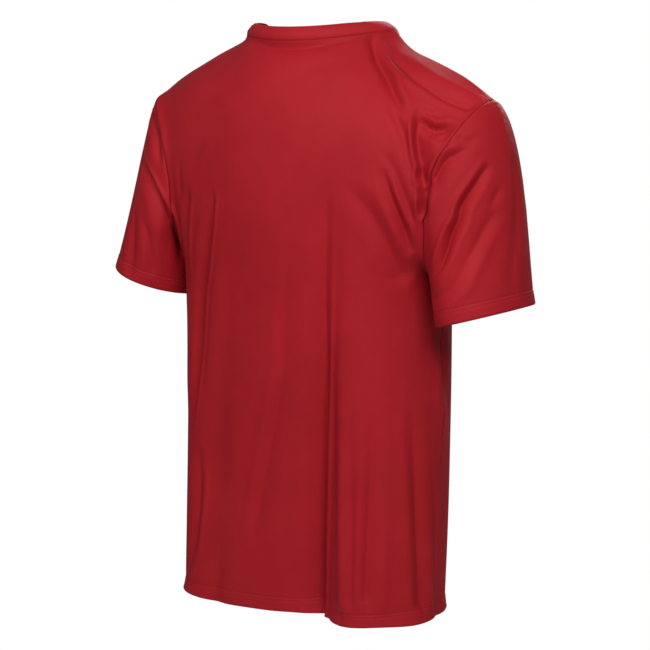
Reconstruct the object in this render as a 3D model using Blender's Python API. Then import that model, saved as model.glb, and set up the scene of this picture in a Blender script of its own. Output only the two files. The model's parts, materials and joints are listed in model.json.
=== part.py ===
"""A short-sleeved crew-neck sports shirt, filled out as if worn and open at the neck, hem and cuffs.

Five cut pieces are sewn together: a front, a back, two set-in sleeves and a folded neckband.
Metres, +Z up. The front faces -Y and the wearer's left is +X. The origin lies at the base of
the neck, midway between the high points of the two shoulder seams.
"""
import math

import bmesh
import bpy
import numpy as np

# Driving sizes.
NECK_HALF = 0.105
NECK_FORWARD = 0.018  # the high shoulder points lie this far in front of the shoulder ends
NECK_BACK = 0.066  # how far behind the shoulder line the neck seam runs
NECK_FRONT = 0.092
NECK_BACK_DROP = 0.014
NECK_FRONT_DROP = 0.088
NECK_ROUND = 1.6  # above 1, the neck seam runs level over the shoulder seams
UNDERARM_HALF = 0.183
UNDERARM_HEIGHT = -0.302
HEM_HEIGHT = -0.745
SIDE_SEAM_BACK = 0.004  # the side seams lie this far behind the shoulder line
ARMHOLE_BACK = 0.086  # how far the armhole bows behind the shoulder line
ARMHOLE_FRONT = 0.078
HEM_DEPTH = 0.020
CLOTH_HALF = 0.272  # half of a panel's cut width, from its centre line to its side seam
CUFF_HALF_WIDTH = 0.052
CUFF_HALF_DEPTH = 0.080
GUIDED_SHARE = 0.40  # how much of half a row follows the body and not the armhole
GUIDE_ROUND = 1.5
SHIFT_SPREAD = 0.25  # how quickly the corner between neck and shoulder fades out below them
SMOOTH_ROUNDS = 160
WALL = 0.0016
HEM_WALL = 0.0026
BAND_WALL = 0.0026
BAND_BOW = 0.0022
SEAM_INSET = 0.00015  # each piece stops this far short of the line of its seam
BAND_INSET = 0.00040

# Grid counts, shared by the pieces so that their edges meet point to point.
NECK_COLUMNS = 7  # from the centre line to the high shoulder point
SHOULDER_COLUMNS = 10
HALF_COLUMNS = NECK_COLUMNS + SHOULDER_COLUMNS
UPPER_ROWS = 11  # from the shoulder seam down to the underarm
LOWER_ROWS = 17  # from the underarm down to the hem, the last row being the hem itself
SLEEVE_ROWS = 9
BAND_ROWS = 2
FINE_STEPS = 240  # points on a row's curve before it is divided evenly
SIDE_NAMES = {1: "left", -1: "right"}


def table(columns, *rows):
    names = columns.split()
    return [dict(zip(names, row)) for row in rows]


# The armhole from the shoulder (share 0) to the underarm (share 1): how much of the way from the
# underarm's half width to the shoulder's half width it keeps, behind and in front.
ARMHOLE = table(
    "share  back_keep  front_keep",
    (0.00, 1.00, 1.00),
    (0.12, 0.95, 0.94),
    (0.25, 0.80, 0.76),
    (0.36, 0.60, 0.48),
    (0.50, 0.36, 0.20),
    (0.65, 0.26, 0.08),
    (0.82, 0.10, 0.02),
    (1.00, 0.00, 0.00),
)

# How far the shoulder seams fall from the high shoulder point (share 0) to the armhole (share 1).
SHOULDER_SEAMS = table(
    "share  left_drop  right_drop",
    (0.00, 0.000, 0.000),
    (0.08, 0.009, 0.013),
    (0.20, 0.017, 0.026),
    (0.35, 0.026, 0.035),
    (0.55, 0.040, 0.047),
    (0.75, 0.054, 0.061),
    (0.90, 0.067, 0.075),
    (1.00, 0.079, 0.086),
)

# The centre lines of both panels from the neck (share 0) to the underarm's level (share 1), and
# how far round its full quarter turn each row has come where it meets the armhole.
CENTRE_LINES = table(
    "share  back_reach  back_height  front_reach  front_height  turn",
    (0.00, 0.066, -0.014, 0.092, -0.088, 1.15),
    (0.15, 0.075, -0.024, 0.097, -0.098, 1.10),
    (0.30, 0.090, -0.048, 0.105, -0.116, 1.08),
    (0.50, 0.111, -0.102, 0.117, -0.155, 1.12),
    (0.70, 0.122, -0.174, 0.126, -0.210, 1.25),
    (0.85, 0.124, -0.238, 0.128, -0.256, 1.42),
    (1.00, 0.121, -0.302, 0.126, -0.302, 1.5707),
)

# Level rings of the body from the underarm down.
BODY_LEVELS = table(
    "height  left_half  right_half  back_reach  front_reach  back_round  front_round",
    (-0.302, 0.183, 0.183, 0.121, 0.126, 0.92, 0.92),
    (-0.360, 0.182, 0.184, 0.117, 0.123, 0.88, 0.90),
    (-0.440, 0.179, 0.184, 0.111, 0.117, 0.83, 0.88),
    (-0.540, 0.179, 0.183, 0.103, 0.110, 0.77, 0.87),
    (-0.640, 0.182, 0.182, 0.097, 0.105, 0.71, 0.86),
    (-0.745, 0.185, 0.181, 0.094, 0.103, 0.64, 0.86),
)

# Folds, each along a line from its start to its end. Across is the cloth's distance from the
# panel's centre line, + to the wearer's left. A depth above zero is a trough, below zero a ridge.
# The two widths are its slopes towards the wearer's right and left.
FOLD_COLUMNS = "across  height  end_across  end_height  bow  depth  end_depth  right_width  left_width"
BACK_FOLDS = table(
    FOLD_COLUMNS,
    (-0.100, -0.180, -0.052, -0.860, 0.000, 0.002, 0.030, 0.020, 0.060),  # the long centre valley
    (-0.135, -0.260, -0.125, -0.860, 0.000, -0.002, -0.024, 0.050, 0.034),  # the lobe beside it
    (0.100, -0.200, 0.185, -0.520, 0.003, 0.010, 0.014, 0.018, 0.016),  # below the left armhole
    (0.060, -0.260, 0.125, -0.640, 0.006, 0.003, 0.005, 0.030, 0.030),
    (0.160, -0.420, 0.170, -0.900, 0.000, -0.004, -0.012, 0.040, 0.040),
)
FRONT_FOLDS = table(
    FOLD_COLUMNS,
    (0.085, -0.230, 0.055, -0.860, 0.000, 0.002, 0.024, 0.045, 0.024),
    (0.130, -0.300, 0.125, -0.860, 0.000, -0.002, -0.018, 0.034, 0.045),
    (-0.120, -0.260, -0.080, -0.860, 0.000, 0.002, 0.018, 0.024, 0.045),
    (-0.160, -0.330, -0.160, -0.860, 0.000, -0.002, -0.014, 0.040, 0.034),
)

# How a sleeve leaves the armhole at four places round it: outwards, backwards and upwards, and
# how strongly it keeps that direction.
SLEEVE_STARTS = table(
    "turn  out  back  up  pull",
    (0.00, 0.78, 0.00, -0.62, 0.125),
    (0.12, 0.58, 0.08, -0.80, 0.100),
    (0.30, 0.60, 0.20, -0.76, 0.095),
    (0.50, 0.44, 0.00, -0.90, 0.040),
    (0.70, 0.72, -0.30, -0.62, 0.110),
    (0.88, 0.78, -0.16, -0.60, 0.130),
    (1.00, 0.78, 0.00, -0.62, 0.125),
)
SLEEVE_END_PULL = 0.110

# The two arms: how far the shoulder end of the armhole lies from the centre line, where the
# cuff's centre lies, how far the cuff's outer edge is tilted up and its back edge lifted, how
# full the sleeve is, how far the armhole's back is drawn inwards, how far its bow lasts down to
# the underarm (more below 1), and how far the cuff is turned towards the body behind. The
# wearer's right arm hangs a little lower than the left.
ARMS = table(
    "side  shoulder_half  cuff_out  cuff_back  cuff_height  cuff_tilt  back_lift  fullness"
    "  seam_inwards  underarm_round  cuff_turn",
    (1, 0.234, 0.240, 0.011, -0.330, math.radians(22), 0.007, 0.60, 0.029, 1.10, 0.0),
    (-1, 0.248, 0.250, 0.018, -0.349, math.radians(15), 0.000, 1.06, 0.006, 0.60, math.radians(9)),
)

# How far the neckband's top edge lies inside and above the neck seam. It turns from the wearer's
# left shoulder over the back to the right shoulder and round the front.
BAND_LEANS = table(
    "turn  inwards  up",
    (0.00, 0.017, 0.011),
    (0.12, 0.011, 0.015),
    (0.25, 0.007, 0.018),
    (0.38, 0.011, 0.015),
    (0.50, 0.017, 0.011),
    (0.62, 0.014, 0.013),
    (0.75, 0.013, 0.014),
    (0.88, 0.014, 0.013),
    (1.00, 0.017, 0.011),
)


def smooth_along(rows, column, at, by="share"):
    """A smooth curve through one column of a table, read at one place or at an array of them."""
    places = np.array([row[by] for row in rows], float)
    values = np.array([row[column] for row in rows], float)
    if places[0] > places[-1]:
        places, values = places[::-1], values[::-1]
    slopes = np.gradient(values, places)
    at = np.clip(at, places[0], places[-1])
    left = np.clip(np.searchsorted(places, at, side="right") - 1, 0, len(places) - 2)
    span = places[left + 1] - places[left]
    t = (at - places[left]) / span
    rise = values[left + 1] - values[left]
    curve = values[left] + rise * (3 - 2 * t) * t**2
    curve += span * slopes[left] * t * (1 - t) ** 2
    return curve - span * slopes[left + 1] * t**2 * (1 - t)


def ease(t):
    """0 below 0, 1 above 1, and smooth between."""
    t = np.clip(t, 0.0, 1.0)
    return t * t * (3 - 2 * t)


def divided(points, shares):
    """The points at these shares of the length of a curve."""
    steps = np.linalg.norm(np.diff(points, axis=0), axis=1)
    length = np.concatenate([[0.0], np.cumsum(steps)])
    return np.stack([np.interp(shares * length[-1], length, points[:, k]) for k in range(3)], axis=1)


def half_row(centre, edge, turn, roundness):
    """One row of a panel from its centre line to its edge, as an arc that ends at this turn."""
    share = np.linspace(0.0, 1.0, FINE_STEPS)
    angle = share * turn
    across = edge[0] * (np.sin(angle) / math.sin(turn)) ** roundness
    fall = (1 - np.cos(angle) ** roundness) / (1 - math.cos(turn) ** roundness)
    reach = centre[1] + (edge[1] - centre[1]) * fall
    height = centre[2] + (edge[2] - centre[2]) * share**2
    points = np.stack([across, reach, height], axis=1)
    return divided(points, np.linspace(0.0, 1.0, HALF_COLUMNS + 1))


def whole_row(centre, edges, guides, turn, roundness):
    """A row from the wearer's left to right, along its guides and out to its edges near the ends."""
    shares = np.linspace(0.0, 1.0, HALF_COLUMNS + 1)
    local = ease((shares - GUIDED_SHARE) / (1 - GUIDED_SHARE))[:, None]
    left, right = (
        half_row(centre, guide, turn, roundness) + local * (edge - guide)
        for edge, guide in zip(edges, guides)
    )
    return np.concatenate([left[::-1], right[1:]])


def arm_of(side):
    return next(arm for arm in ARMS if arm["side"] == side)


def armhole_point(share, side, facing):
    """A point of the armhole's seam. Facing is +1 behind and -1 in front."""
    keep = smooth_along(ARMHOLE, "back_keep" if facing > 0 else "front_keep", share)
    shoulder_height = -SHOULDER_SEAMS[-1][SIDE_NAMES[side] + "_drop"]
    middle = (shoulder_height + UNDERARM_HEIGHT) / 2
    half = (shoulder_height - UNDERARM_HEIGHT) / 2
    out = UNDERARM_HALF + (arm_of(side)["shoulder_half"] - UNDERARM_HALF) * keep
    bow = max(math.sin(math.pi * share), 0.0)
    if facing > 0:
        out -= arm_of(side)["seam_inwards"] * bow**2
        reach = ARMHOLE_BACK * (bow ** arm_of(side)["underarm_round"] if share > 0.5 else bow)
    else:
        reach = -ARMHOLE_FRONT * bow
    back = SIDE_SEAM_BACK * share + reach
    return np.array([side * out, back, middle + half * math.cos(math.pi * share)])


def armhole_guide(share, side, facing):
    """Where a row would end if it only followed the body, which is flatter near the underarm."""
    guide = armhole_point(share, side, facing)
    bow = max(math.sin(math.pi * share), 0.0)
    if share > 0.5:
        reach = (ARMHOLE_BACK if facing > 0 else -ARMHOLE_FRONT) * bow**GUIDE_ROUND
        guide[1] = SIDE_SEAM_BACK * share + reach
    return guide


def across_line():
    """Where the columns of a panel lie on the flat cloth, from the wearer's left to right."""
    return np.linspace(CLOTH_HALF, -CLOTH_HALF, 2 * HALF_COLUMNS + 1)


def spread_shift(shift, width):
    """A row's shifts, averaged over a width of cloth, with the two ends kept."""
    across = across_line()
    plain = np.exp(-(((across[:, None] - across[None]) / width) ** 2))
    mirrored = sum(
        np.exp(-(((across[:, None] + across[None] - end) / width) ** 2))
        for end in (-2 * CLOTH_HALF, 2 * CLOTH_HALF)
    )
    return (plain - mirrored) @ shift / (plain + mirrored).sum(axis=1, keepdims=True)


def top_edge(facing):
    """The upper edge of a panel: one shoulder seam, the neck seam and the other shoulder seam."""
    reach = NECK_BACK if facing > 0 else NECK_FRONT
    drop = NECK_BACK_DROP if facing > 0 else NECK_FRONT_DROP
    neck = []
    for column in range(NECK_COLUMNS + 1):
        angle = math.pi / 2 * column / NECK_COLUMNS
        back = -NECK_FORWARD + (facing * reach + NECK_FORWARD) * math.cos(angle)
        neck.append((NECK_HALF * math.sin(angle), back, -drop * math.cos(angle) ** NECK_ROUND))
    halves = []
    for side in (1, -1):
        half = [(side * across, back, height) for across, back, height in neck]
        for column in range(1, SHOULDER_COLUMNS + 1):
            share = column / SHOULDER_COLUMNS
            out = NECK_HALF + (arm_of(side)["shoulder_half"] - NECK_HALF) * share
            fall = smooth_along(SHOULDER_SEAMS, SIDE_NAMES[side] + "_drop", share)
            half.append((side * out, -NECK_FORWARD * (1 - share), -fall))
        halves.append(np.array(half))
    return np.concatenate([halves[0][::-1], halves[1][1:]])


def panel_base(facing):
    """A panel's smooth surface, as rows of points from the wearer's left to right."""
    name = "back" if facing > 0 else "front"
    rows = []
    for share in np.linspace(0.0, 1.0, UPPER_ROWS + 1):
        reach = facing * smooth_along(CENTRE_LINES, f"{name}_reach", share)
        centre = (0.0, reach, smooth_along(CENTRE_LINES, f"{name}_height", share))
        turn = float(smooth_along(CENTRE_LINES, "turn", share))
        edges = [armhole_point(share, side, facing) for side in (1, -1)]
        guides = [armhole_guide(share, side, facing) for side in (1, -1)]
        rows.append(whole_row(centre, edges, guides, turn, BODY_LEVELS[0][f"{name}_round"]))
    collar_shift = top_edge(facing) - rows[0]
    rows[0] = rows[0] + collar_shift
    for index, share in enumerate(np.linspace(0.0, 1.0, UPPER_ROWS + 1)[1:], start=1):
        rows[index] = rows[index] + spread_shift(collar_shift, SHIFT_SPREAD * share) * (1 - share) ** 2.6
    lowest_cloth = HEM_HEIGHT + HEM_DEPTH
    heights = list(np.linspace(UNDERARM_HEIGHT, lowest_cloth, LOWER_ROWS)[1:]) + [HEM_HEIGHT]
    for height in heights:
        size = {key: float(smooth_along(BODY_LEVELS, key, height, "height")) for key in BODY_LEVELS[0]}
        centre = (0.0, facing * size[f"{name}_reach"], height)
        halves = (size["left_half"], -size["right_half"])
        edges = [np.array([half, SIDE_SEAM_BACK, height]) for half in halves]
        rows.append(whole_row(centre, edges, edges, math.pi / 2, size[f"{name}_round"]))
    return np.array(rows)


def grid_normals(grid, closed=False):
    """The direction square to a grid of points, from its rows and columns."""
    if closed:
        ring = np.concatenate([grid[:, -2:-1], grid, grid[:, 1:2]], axis=1)
        around = np.gradient(ring, axis=1)[:, 1:-1]
    else:
        around = np.gradient(grid, axis=1)
    normals = np.cross(np.gradient(grid, axis=0), around)
    return normals / np.maximum(np.linalg.norm(normals, axis=2, keepdims=True), 1e-12)


def fold_depth(folds, across, height):
    """How far the folds press the cloth in at each point."""
    total = np.zeros_like(across)
    for fold in folds:
        run = np.array([fold["end_across"] - fold["across"], fold["end_height"] - fold["height"]])
        length = np.linalg.norm(run)
        along = ((across - fold["across"]) * run[0] + (height - fold["height"]) * run[1]) / length**2
        beside = ((across - fold["across"]) * run[1] - (height - fold["height"]) * run[0]) / length
        beside = -beside - fold["bow"] * 4 * along * (1 - along)
        width = np.where(beside > 0, fold["left_width"], fold["right_width"])
        depth = fold["depth"] + (fold["end_depth"] - fold["depth"]) * np.clip(along, 0, 1)
        fade = ease(along / 0.2 + 0.5) * ease((1 - along) / 0.2)
        total += depth * fade * np.exp(-((beside / width) ** 2))
    return total


def smoothed(panels):
    """Both panels without the kinks between their drafted parts. Their seams at the neck, the
    shoulders and the armholes stay where they are, and so does the hem."""
    panels = [panel.copy() for panel in panels]
    for turn in range(SMOOTH_ROUNDS):
        joined = [
            np.concatenate([other[:, 1:2], grid, other[:, -2:-1]], axis=1)
            for grid, other in (panels, panels[::-1])
        ]
        for grid, wide in zip(panels, joined):
            middle = (wide[2:, 1:-1] + wide[:-2, 1:-1] + wide[1:-1, 2:] + wide[1:-1, :-2]) / 4
            outwards = grid_normals(wide)[1:-1, 1:-1]
            pull = np.sum((middle - grid[1:-1]) * outwards, axis=2, keepdims=True)
            pull[:UPPER_ROWS, [0, -1]] = 0
            grid[1:-1] += (0.60 if turn % 2 == 0 else -0.61) * pull * outwards
    back, front = panels
    for column in (0, -1):
        front[UPPER_ROWS:, column] = back[UPPER_ROWS:, column]
    return back, front


def panel_grid(base, facing):
    """A panel with its folds. The outer side of the cloth is away from the body's middle."""
    across = np.broadcast_to(across_line(), base.shape[:2])
    outwards = grid_normals(base) * -facing
    outwards *= np.sign(np.sum(outwards * (0, facing, 0.2), axis=2, keepdims=True) + 1e-9)
    folds = BACK_FOLDS if facing > 0 else FRONT_FOLDS
    hold = ease((CLOTH_HALF - np.abs(across)) / 0.035)
    return base - outwards * (hold * fold_depth(folds, across, base[:, :, 2]))[:, :, None]


def armhole_ring(back, front, side):
    """The seam points round an armhole, from the shoulder down the back and up the front."""
    column = 0 if side > 0 else -1
    down = back[: UPPER_ROWS + 1, column]
    up = front[: UPPER_ROWS + 1, column][::-1]
    return np.concatenate([down, up[1:]])


def sleeve_grid(back, front, side):
    """A sleeve as rings from the armhole to the cuff. The first and last point of a ring coincide."""
    ring = armhole_ring(back, front, side)
    turns = np.linspace(0.0, 1.0, len(ring))
    angle = 2 * math.pi * turns
    arm = arm_of(side)
    tilt = arm["cuff_tilt"]
    wide, deep = CUFF_HALF_WIDTH * np.cos(angle), CUFF_HALF_DEPTH * np.sin(angle)
    turned = arm["cuff_turn"]
    out = wide * math.cos(turned) - deep * math.sin(turned)
    back = wide * math.sin(turned) + deep * math.cos(turned)
    cuff = np.stack(
        [
            side * (arm["cuff_out"] + out * math.cos(tilt)),
            arm["cuff_back"] + back,
            arm["cuff_height"] + out * math.sin(tilt) + arm["back_lift"] * np.sin(angle),
        ],
        axis=1,
    )
    start = [smooth_along(SLEEVE_STARTS, key, turns, "turn") for key in ("out", "back", "up", "pull")]
    leaving = np.stack([side * start[0], start[1], start[2]], axis=1)
    leaving *= start[3][:, None] * arm["fullness"]
    arriving = np.array([side * math.sin(tilt), 0.0, -math.cos(tilt)]) * SLEEVE_END_PULL
    cloth_end = 1 - HEM_DEPTH / np.linalg.norm(ring - cuff, axis=1).max()
    shares = np.append(np.linspace(0.0, cloth_end, SLEEVE_ROWS), 1.0)
    rows = []
    for t in shares:
        row = ring * (1 - t) ** 2 * (1 + 2 * t) + cuff * t**2 * (3 - 2 * t)
        row = row + leaving * t * (1 - t) ** 2 - arriving * t**2 * (1 - t)
        rows.append(row)
    return np.array(rows)


def band_grid(back, front):
    """The neckband as rings from the neck seam to its folded top edge."""
    neck = slice(SHOULDER_COLUMNS, SHOULDER_COLUMNS + 2 * NECK_COLUMNS + 1)
    ring = np.concatenate([back[0, neck], front[0, neck][::-1][1:]])
    turns = np.linspace(0.0, 1.0, len(ring))
    middle = np.array([0.0, (NECK_BACK - NECK_FRONT) / 2, 0.0])
    inwards = (middle - ring) * (1, 1, 0)
    inwards /= np.linalg.norm(inwards, axis=1, keepdims=True)
    lean = smooth_along(BAND_LEANS, "inwards", turns, "turn")[:, None]
    rise = smooth_along(BAND_LEANS, "up", turns, "turn")[:, None] * (0, 0, 1)
    rows = []
    for share in np.linspace(0.0, 1.0, BAND_ROWS + 1):
        bow = BAND_BOW * math.sin(math.pi * share)
        rows.append(ring + inwards * (lean * share - bow) + rise * share)
    return np.array(rows)


def key_of(point):
    return tuple(np.round(point, 6))


def shared_normals(grids):
    """Each grid's outward directions. Points that pieces share at a seam share one direction."""
    sums = {}
    normals = {}
    for name, (grid, closed, sign) in grids.items():
        normals[name] = grid_normals(grid, closed) * sign
        last = grid.shape[1] - 1 if closed else grid.shape[1]
        for row in range(grid.shape[0]):
            for column in range(last):
                key = key_of(grid[row, column])
                sums[key] = sums.get(key, 0) + normals[name][row, column]
    for name, (grid, _, _) in grids.items():
        for row in range(grid.shape[0]):
            for column in range(grid.shape[1]):
                total = sums[key_of(grid[row, column])]
                normals[name][row, column] = total / np.linalg.norm(total)
    return normals


def drawn_in(grid, edges, inset):
    """The grid with these edges moved a little towards their neighbours."""
    grid = grid.copy()
    for edge in edges:
        at, beside = {
            "top": ((0,), (1,)),
            "bottom": ((-1,), (-2,)),
            "left": ((slice(None), 0), (slice(None), 1)),
            "right": ((slice(None), -1), (slice(None), -2)),
        }[edge]
        step = grid[beside] - grid[at]
        grid[at] += inset * step / np.linalg.norm(step, axis=-1, keepdims=True)
    return grid


def material(name, colour, roughness):
    """A Principled material. Colour is linear red, green and blue."""
    made = bpy.data.materials.new(name)
    made.use_nodes = True
    shader = made.node_tree.nodes["Principled BSDF"]
    shader.inputs["Base Color"].default_value = (*colour, 1.0)
    shader.inputs["Roughness"].default_value = roughness
    shader.inputs["Metallic"].default_value = 0.0
    return made


def skin(mesh, points, closed):
    """A grid surface moved onto these points, joined where its ends meet if it is closed."""
    rows, columns = points.shape[:2]
    made = bmesh.ops.create_grid(mesh, x_segments=columns - 1, y_segments=rows - 1, size=1.0)["verts"]
    for vertex, point in zip(made, points.reshape(-1, 3)):
        vertex.co = point
    lines = [made[row * columns : (row + 1) * columns] for row in range(rows)]
    if closed:
        bmesh.ops.weld_verts(mesh, targetmap={line[-1]: line[0] for line in lines})
        lines = [line[:-1] + line[:1] for line in lines]
    return lines


def rim(mesh, outer_line, inner_line):
    """The narrow cut edge of the cloth between its outer and inner surface."""
    corners = zip(outer_line, outer_line[1:], inner_line[1:], inner_line)
    for four in corners:
        mesh.faces.new(four)


def wall_object(name, collection, outer, inner, closed, cloth):
    """One closed wall between an outer and an inner grid of points."""
    mesh = bmesh.new()
    outside = skin(mesh, outer, closed)
    inside = skin(mesh, inner, closed)
    for row in (0, -1):
        rim(mesh, outside[row], inside[row])
    if not closed:
        for column in (0, -1):
            rim(mesh, [line[column] for line in outside], [line[column] for line in inside])
    bmesh.ops.recalc_face_normals(mesh, faces=mesh.faces)
    if mesh.calc_volume(signed=True) < 0:
        bmesh.ops.reverse_faces(mesh, faces=mesh.faces)
    data = bpy.data.meshes.new(name)
    mesh.to_mesh(data)
    mesh.free()
    data.shade_smooth()
    data.set_sharp_from_angle(angle=math.radians(50))
    data.materials.append(cloth)
    made = bpy.data.objects.new(name, data)
    collection.objects.link(made)
    return made


def wall_depths(grid):
    """The thickness of the wall at each point, the turned hem being thicker."""
    depths = np.full(grid.shape[:2], WALL)
    depths[-2:] = HEM_WALL
    return depths


def main():
    for old in list(bpy.data.objects):
        bpy.data.objects.remove(old, do_unlink=True)
    shirt = bpy.data.collections.new("sports_shirt")
    bpy.context.scene.collection.children.link(shirt)
    jersey = material("red_polyester_jersey", (0.376, 0.014, 0.022), 0.62)
    band_jersey = material("red_polyester_jersey_band", (0.400, 0.016, 0.025), 0.62)

    back_base, front_base = smoothed([panel_base(1), panel_base(-1)])
    back, front = panel_grid(back_base, 1), panel_grid(front_base, -1)
    grids = {
        "back_panel": (back, False, 1),
        "front_panel": (front, False, -1),
        "sleeve_left": (sleeve_grid(back, front, 1), True, 1),
        "sleeve_right": (sleeve_grid(back, front, -1), True, -1),
        "neckband": (band_grid(back, front), True, -1),
    }
    normals = shared_normals(grids)
    seams = {
        "back_panel": ("top", "left", "right"),
        "front_panel": ("top", "left", "right"),
        "sleeve_left": ("top",),
        "sleeve_right": ("top",),
        "neckband": ("top",),
    }
    for name, (grid, closed, _) in grids.items():
        band = name == "neckband"
        inset = BAND_INSET if band else SEAM_INSET
        depths = np.full(grid.shape[:2], BAND_WALL) if band else wall_depths(grid)
        outer = drawn_in(grid, seams[name], inset)
        inner = drawn_in(grid - normals[name] * depths[:, :, None], seams[name], inset)
        wall_object(name, shirt, outer, inner, closed, band_jersey if band else jersey)


main()
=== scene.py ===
# %% [markdown]
# # A red jersey t-shirt, seen from behind
#
# The shirt is filled out as if somebody wore it, with nobody inside. It is sewn from five cut
# pieces: a back, a front, two set-in sleeves and a folded neckband. The solids that this scene
# starts from have the same five pieces with thick walls and only the largest folds. Here each
# piece is made again as thin cloth, with its small creases, seams, hems, stitches and knit.

# %% Load the solids
import json
import math

import bmesh
import bpy
import numpy as np
from mathutils import Matrix, Vector

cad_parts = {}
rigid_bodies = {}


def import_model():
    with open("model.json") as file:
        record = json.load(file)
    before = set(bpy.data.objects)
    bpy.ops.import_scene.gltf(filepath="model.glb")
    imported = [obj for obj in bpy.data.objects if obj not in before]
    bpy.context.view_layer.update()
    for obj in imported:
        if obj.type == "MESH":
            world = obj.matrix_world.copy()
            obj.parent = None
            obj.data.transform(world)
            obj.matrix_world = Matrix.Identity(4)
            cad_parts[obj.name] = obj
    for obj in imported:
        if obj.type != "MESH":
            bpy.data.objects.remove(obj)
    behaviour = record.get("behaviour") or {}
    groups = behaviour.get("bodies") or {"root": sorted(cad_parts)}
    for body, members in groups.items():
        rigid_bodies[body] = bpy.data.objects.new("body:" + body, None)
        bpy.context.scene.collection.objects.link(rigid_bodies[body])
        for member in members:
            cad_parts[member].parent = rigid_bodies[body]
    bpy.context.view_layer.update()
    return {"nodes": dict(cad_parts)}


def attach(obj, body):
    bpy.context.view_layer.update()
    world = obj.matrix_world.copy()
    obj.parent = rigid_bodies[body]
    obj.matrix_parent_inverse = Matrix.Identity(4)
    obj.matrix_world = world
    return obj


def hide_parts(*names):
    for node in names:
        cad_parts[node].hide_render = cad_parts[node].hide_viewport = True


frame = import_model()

print("solids:", sorted(frame["nodes"]))

# %% [markdown]
# ## The camera
#
# The picture was taken from behind and from the wearer's right, with a long lens a little
# above the middle of the garment. A long lens keeps the near and the far sleeve alike in size.
# The camera is placed by its distance from a point inside the shirt, so its angles can be read
# straight off, and a small shift puts the shirt as far left in the frame as it should be. The
# picture is square, and places in it are pixels across and down from its upper left corner.

# %% Place the camera
PICTURE_SIZE = 650
CAMERA_TURN = math.radians(210)
CAMERA_RISE = math.radians(8)
CAMERA_DISTANCE = 2.30
LOOKS_AT = Vector((0.0, 0.0, -0.380))
FOCAL_LENGTH = 97.37  # mm
SENSOR_WIDTH = 36.0  # mm
SIDE_SHIFT = 8 / PICTURE_SIZE

camera_data = bpy.data.cameras.new("camera")
camera_data.lens = FOCAL_LENGTH
camera_data.sensor_width = SENSOR_WIDTH
camera_data.shift_x = SIDE_SHIFT
camera_data.dof.use_dof = False
camera_data.clip_start = 0.05
camera = bpy.data.objects.new("camera", camera_data)
bpy.context.scene.collection.objects.link(camera)
backwards = Vector(
    (
        math.sin(CAMERA_TURN) * math.cos(CAMERA_RISE),
        -math.cos(CAMERA_TURN) * math.cos(CAMERA_RISE),
        math.sin(CAMERA_RISE),
    )
)
camera.location = LOOKS_AT + CAMERA_DISTANCE * backwards
camera.rotation_euler = backwards.to_track_quat("Z", "Y").to_euler()
bpy.context.scene.camera = camera
print("camera at", [round(v, 3) for v in camera.location])

# %% [markdown]
# ## The sizes of the garment
#
# A shirt is drafted from a few sizes: how wide the neck is, how far the shoulders fall, how deep
# the armhole is cut, how long and how wide the body is. They are the same here as in the
# solids, so every piece of cloth lands on the solid it stands for. All of them are in metres.

# %% Main sizes
NECK_HALF = 0.105
NECK_FORWARD = 0.018  # the high shoulder points lie this far in front of the shoulder ends
NECK_BACK = 0.066
NECK_FRONT = 0.092
NECK_BACK_DROP = 0.014
NECK_FRONT_DROP = 0.088
NECK_ROUND = 1.6
UNDERARM_HALF = 0.183
UNDERARM_HEIGHT = -0.302
HEM_HEIGHT = -0.745
SIDE_SEAM_BACK = 0.004
ARMHOLE_BACK = 0.086
ARMHOLE_FRONT = 0.078
CLOTH_HALF = 0.272  # half of a panel's cut width, from its centre line to its side seam
NECK_SHARE = 7 / 17  # how much of that half lies under the neck seam
CUFF_HALF_WIDTH = 0.052
CUFF_HALF_DEPTH = 0.080
SLEEVE_END_PULL = 0.110
SIDE_NAMES = {1: "left", -1: "right"}


def table(columns, *rows):
    """Rows of numbers under named columns."""
    names = columns.split()
    return [dict(zip(names, row)) for row in rows]


print(f"body: {-HEM_HEIGHT:.3f} m from shoulder to hem, {4 * CLOTH_HALF:.3f} m of cloth round it")

# %% [markdown]
# ## How the form changes along the garment
#
# Short tables say how each size changes down the body or round an edge. A smooth curve is drawn
# through every column, so a table of six or eight rows gives a rounded form with no corners.

# %% Tables of the form
ARMHOLE = table(
    "share  back_keep  front_keep",
    (0.00, 1.00, 1.00),
    (0.12, 0.95, 0.94),
    (0.25, 0.80, 0.76),
    (0.36, 0.60, 0.48),
    (0.50, 0.36, 0.20),
    (0.65, 0.26, 0.08),
    (0.82, 0.10, 0.02),
    (1.00, 0.00, 0.00),
)
SHOULDER_SEAMS = table(
    "share  left_drop  right_drop",
    (0.00, 0.000, 0.000),
    (0.08, 0.009, 0.013),
    (0.20, 0.017, 0.026),
    (0.35, 0.026, 0.035),
    (0.55, 0.040, 0.047),
    (0.75, 0.054, 0.061),
    (0.90, 0.067, 0.075),
    (1.00, 0.079, 0.086),
)
CENTRE_LINES = table(
    "share  back_reach  back_height  front_reach  front_height  turn",
    (0.00, 0.066, -0.014, 0.092, -0.088, 1.15),
    (0.15, 0.075, -0.024, 0.097, -0.098, 1.10),
    (0.30, 0.090, -0.048, 0.105, -0.116, 1.08),
    (0.50, 0.111, -0.102, 0.117, -0.155, 1.12),
    (0.70, 0.122, -0.174, 0.126, -0.210, 1.25),
    (0.85, 0.124, -0.238, 0.128, -0.256, 1.42),
    (1.00, 0.121, -0.302, 0.126, -0.302, 1.5707),
)
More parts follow.
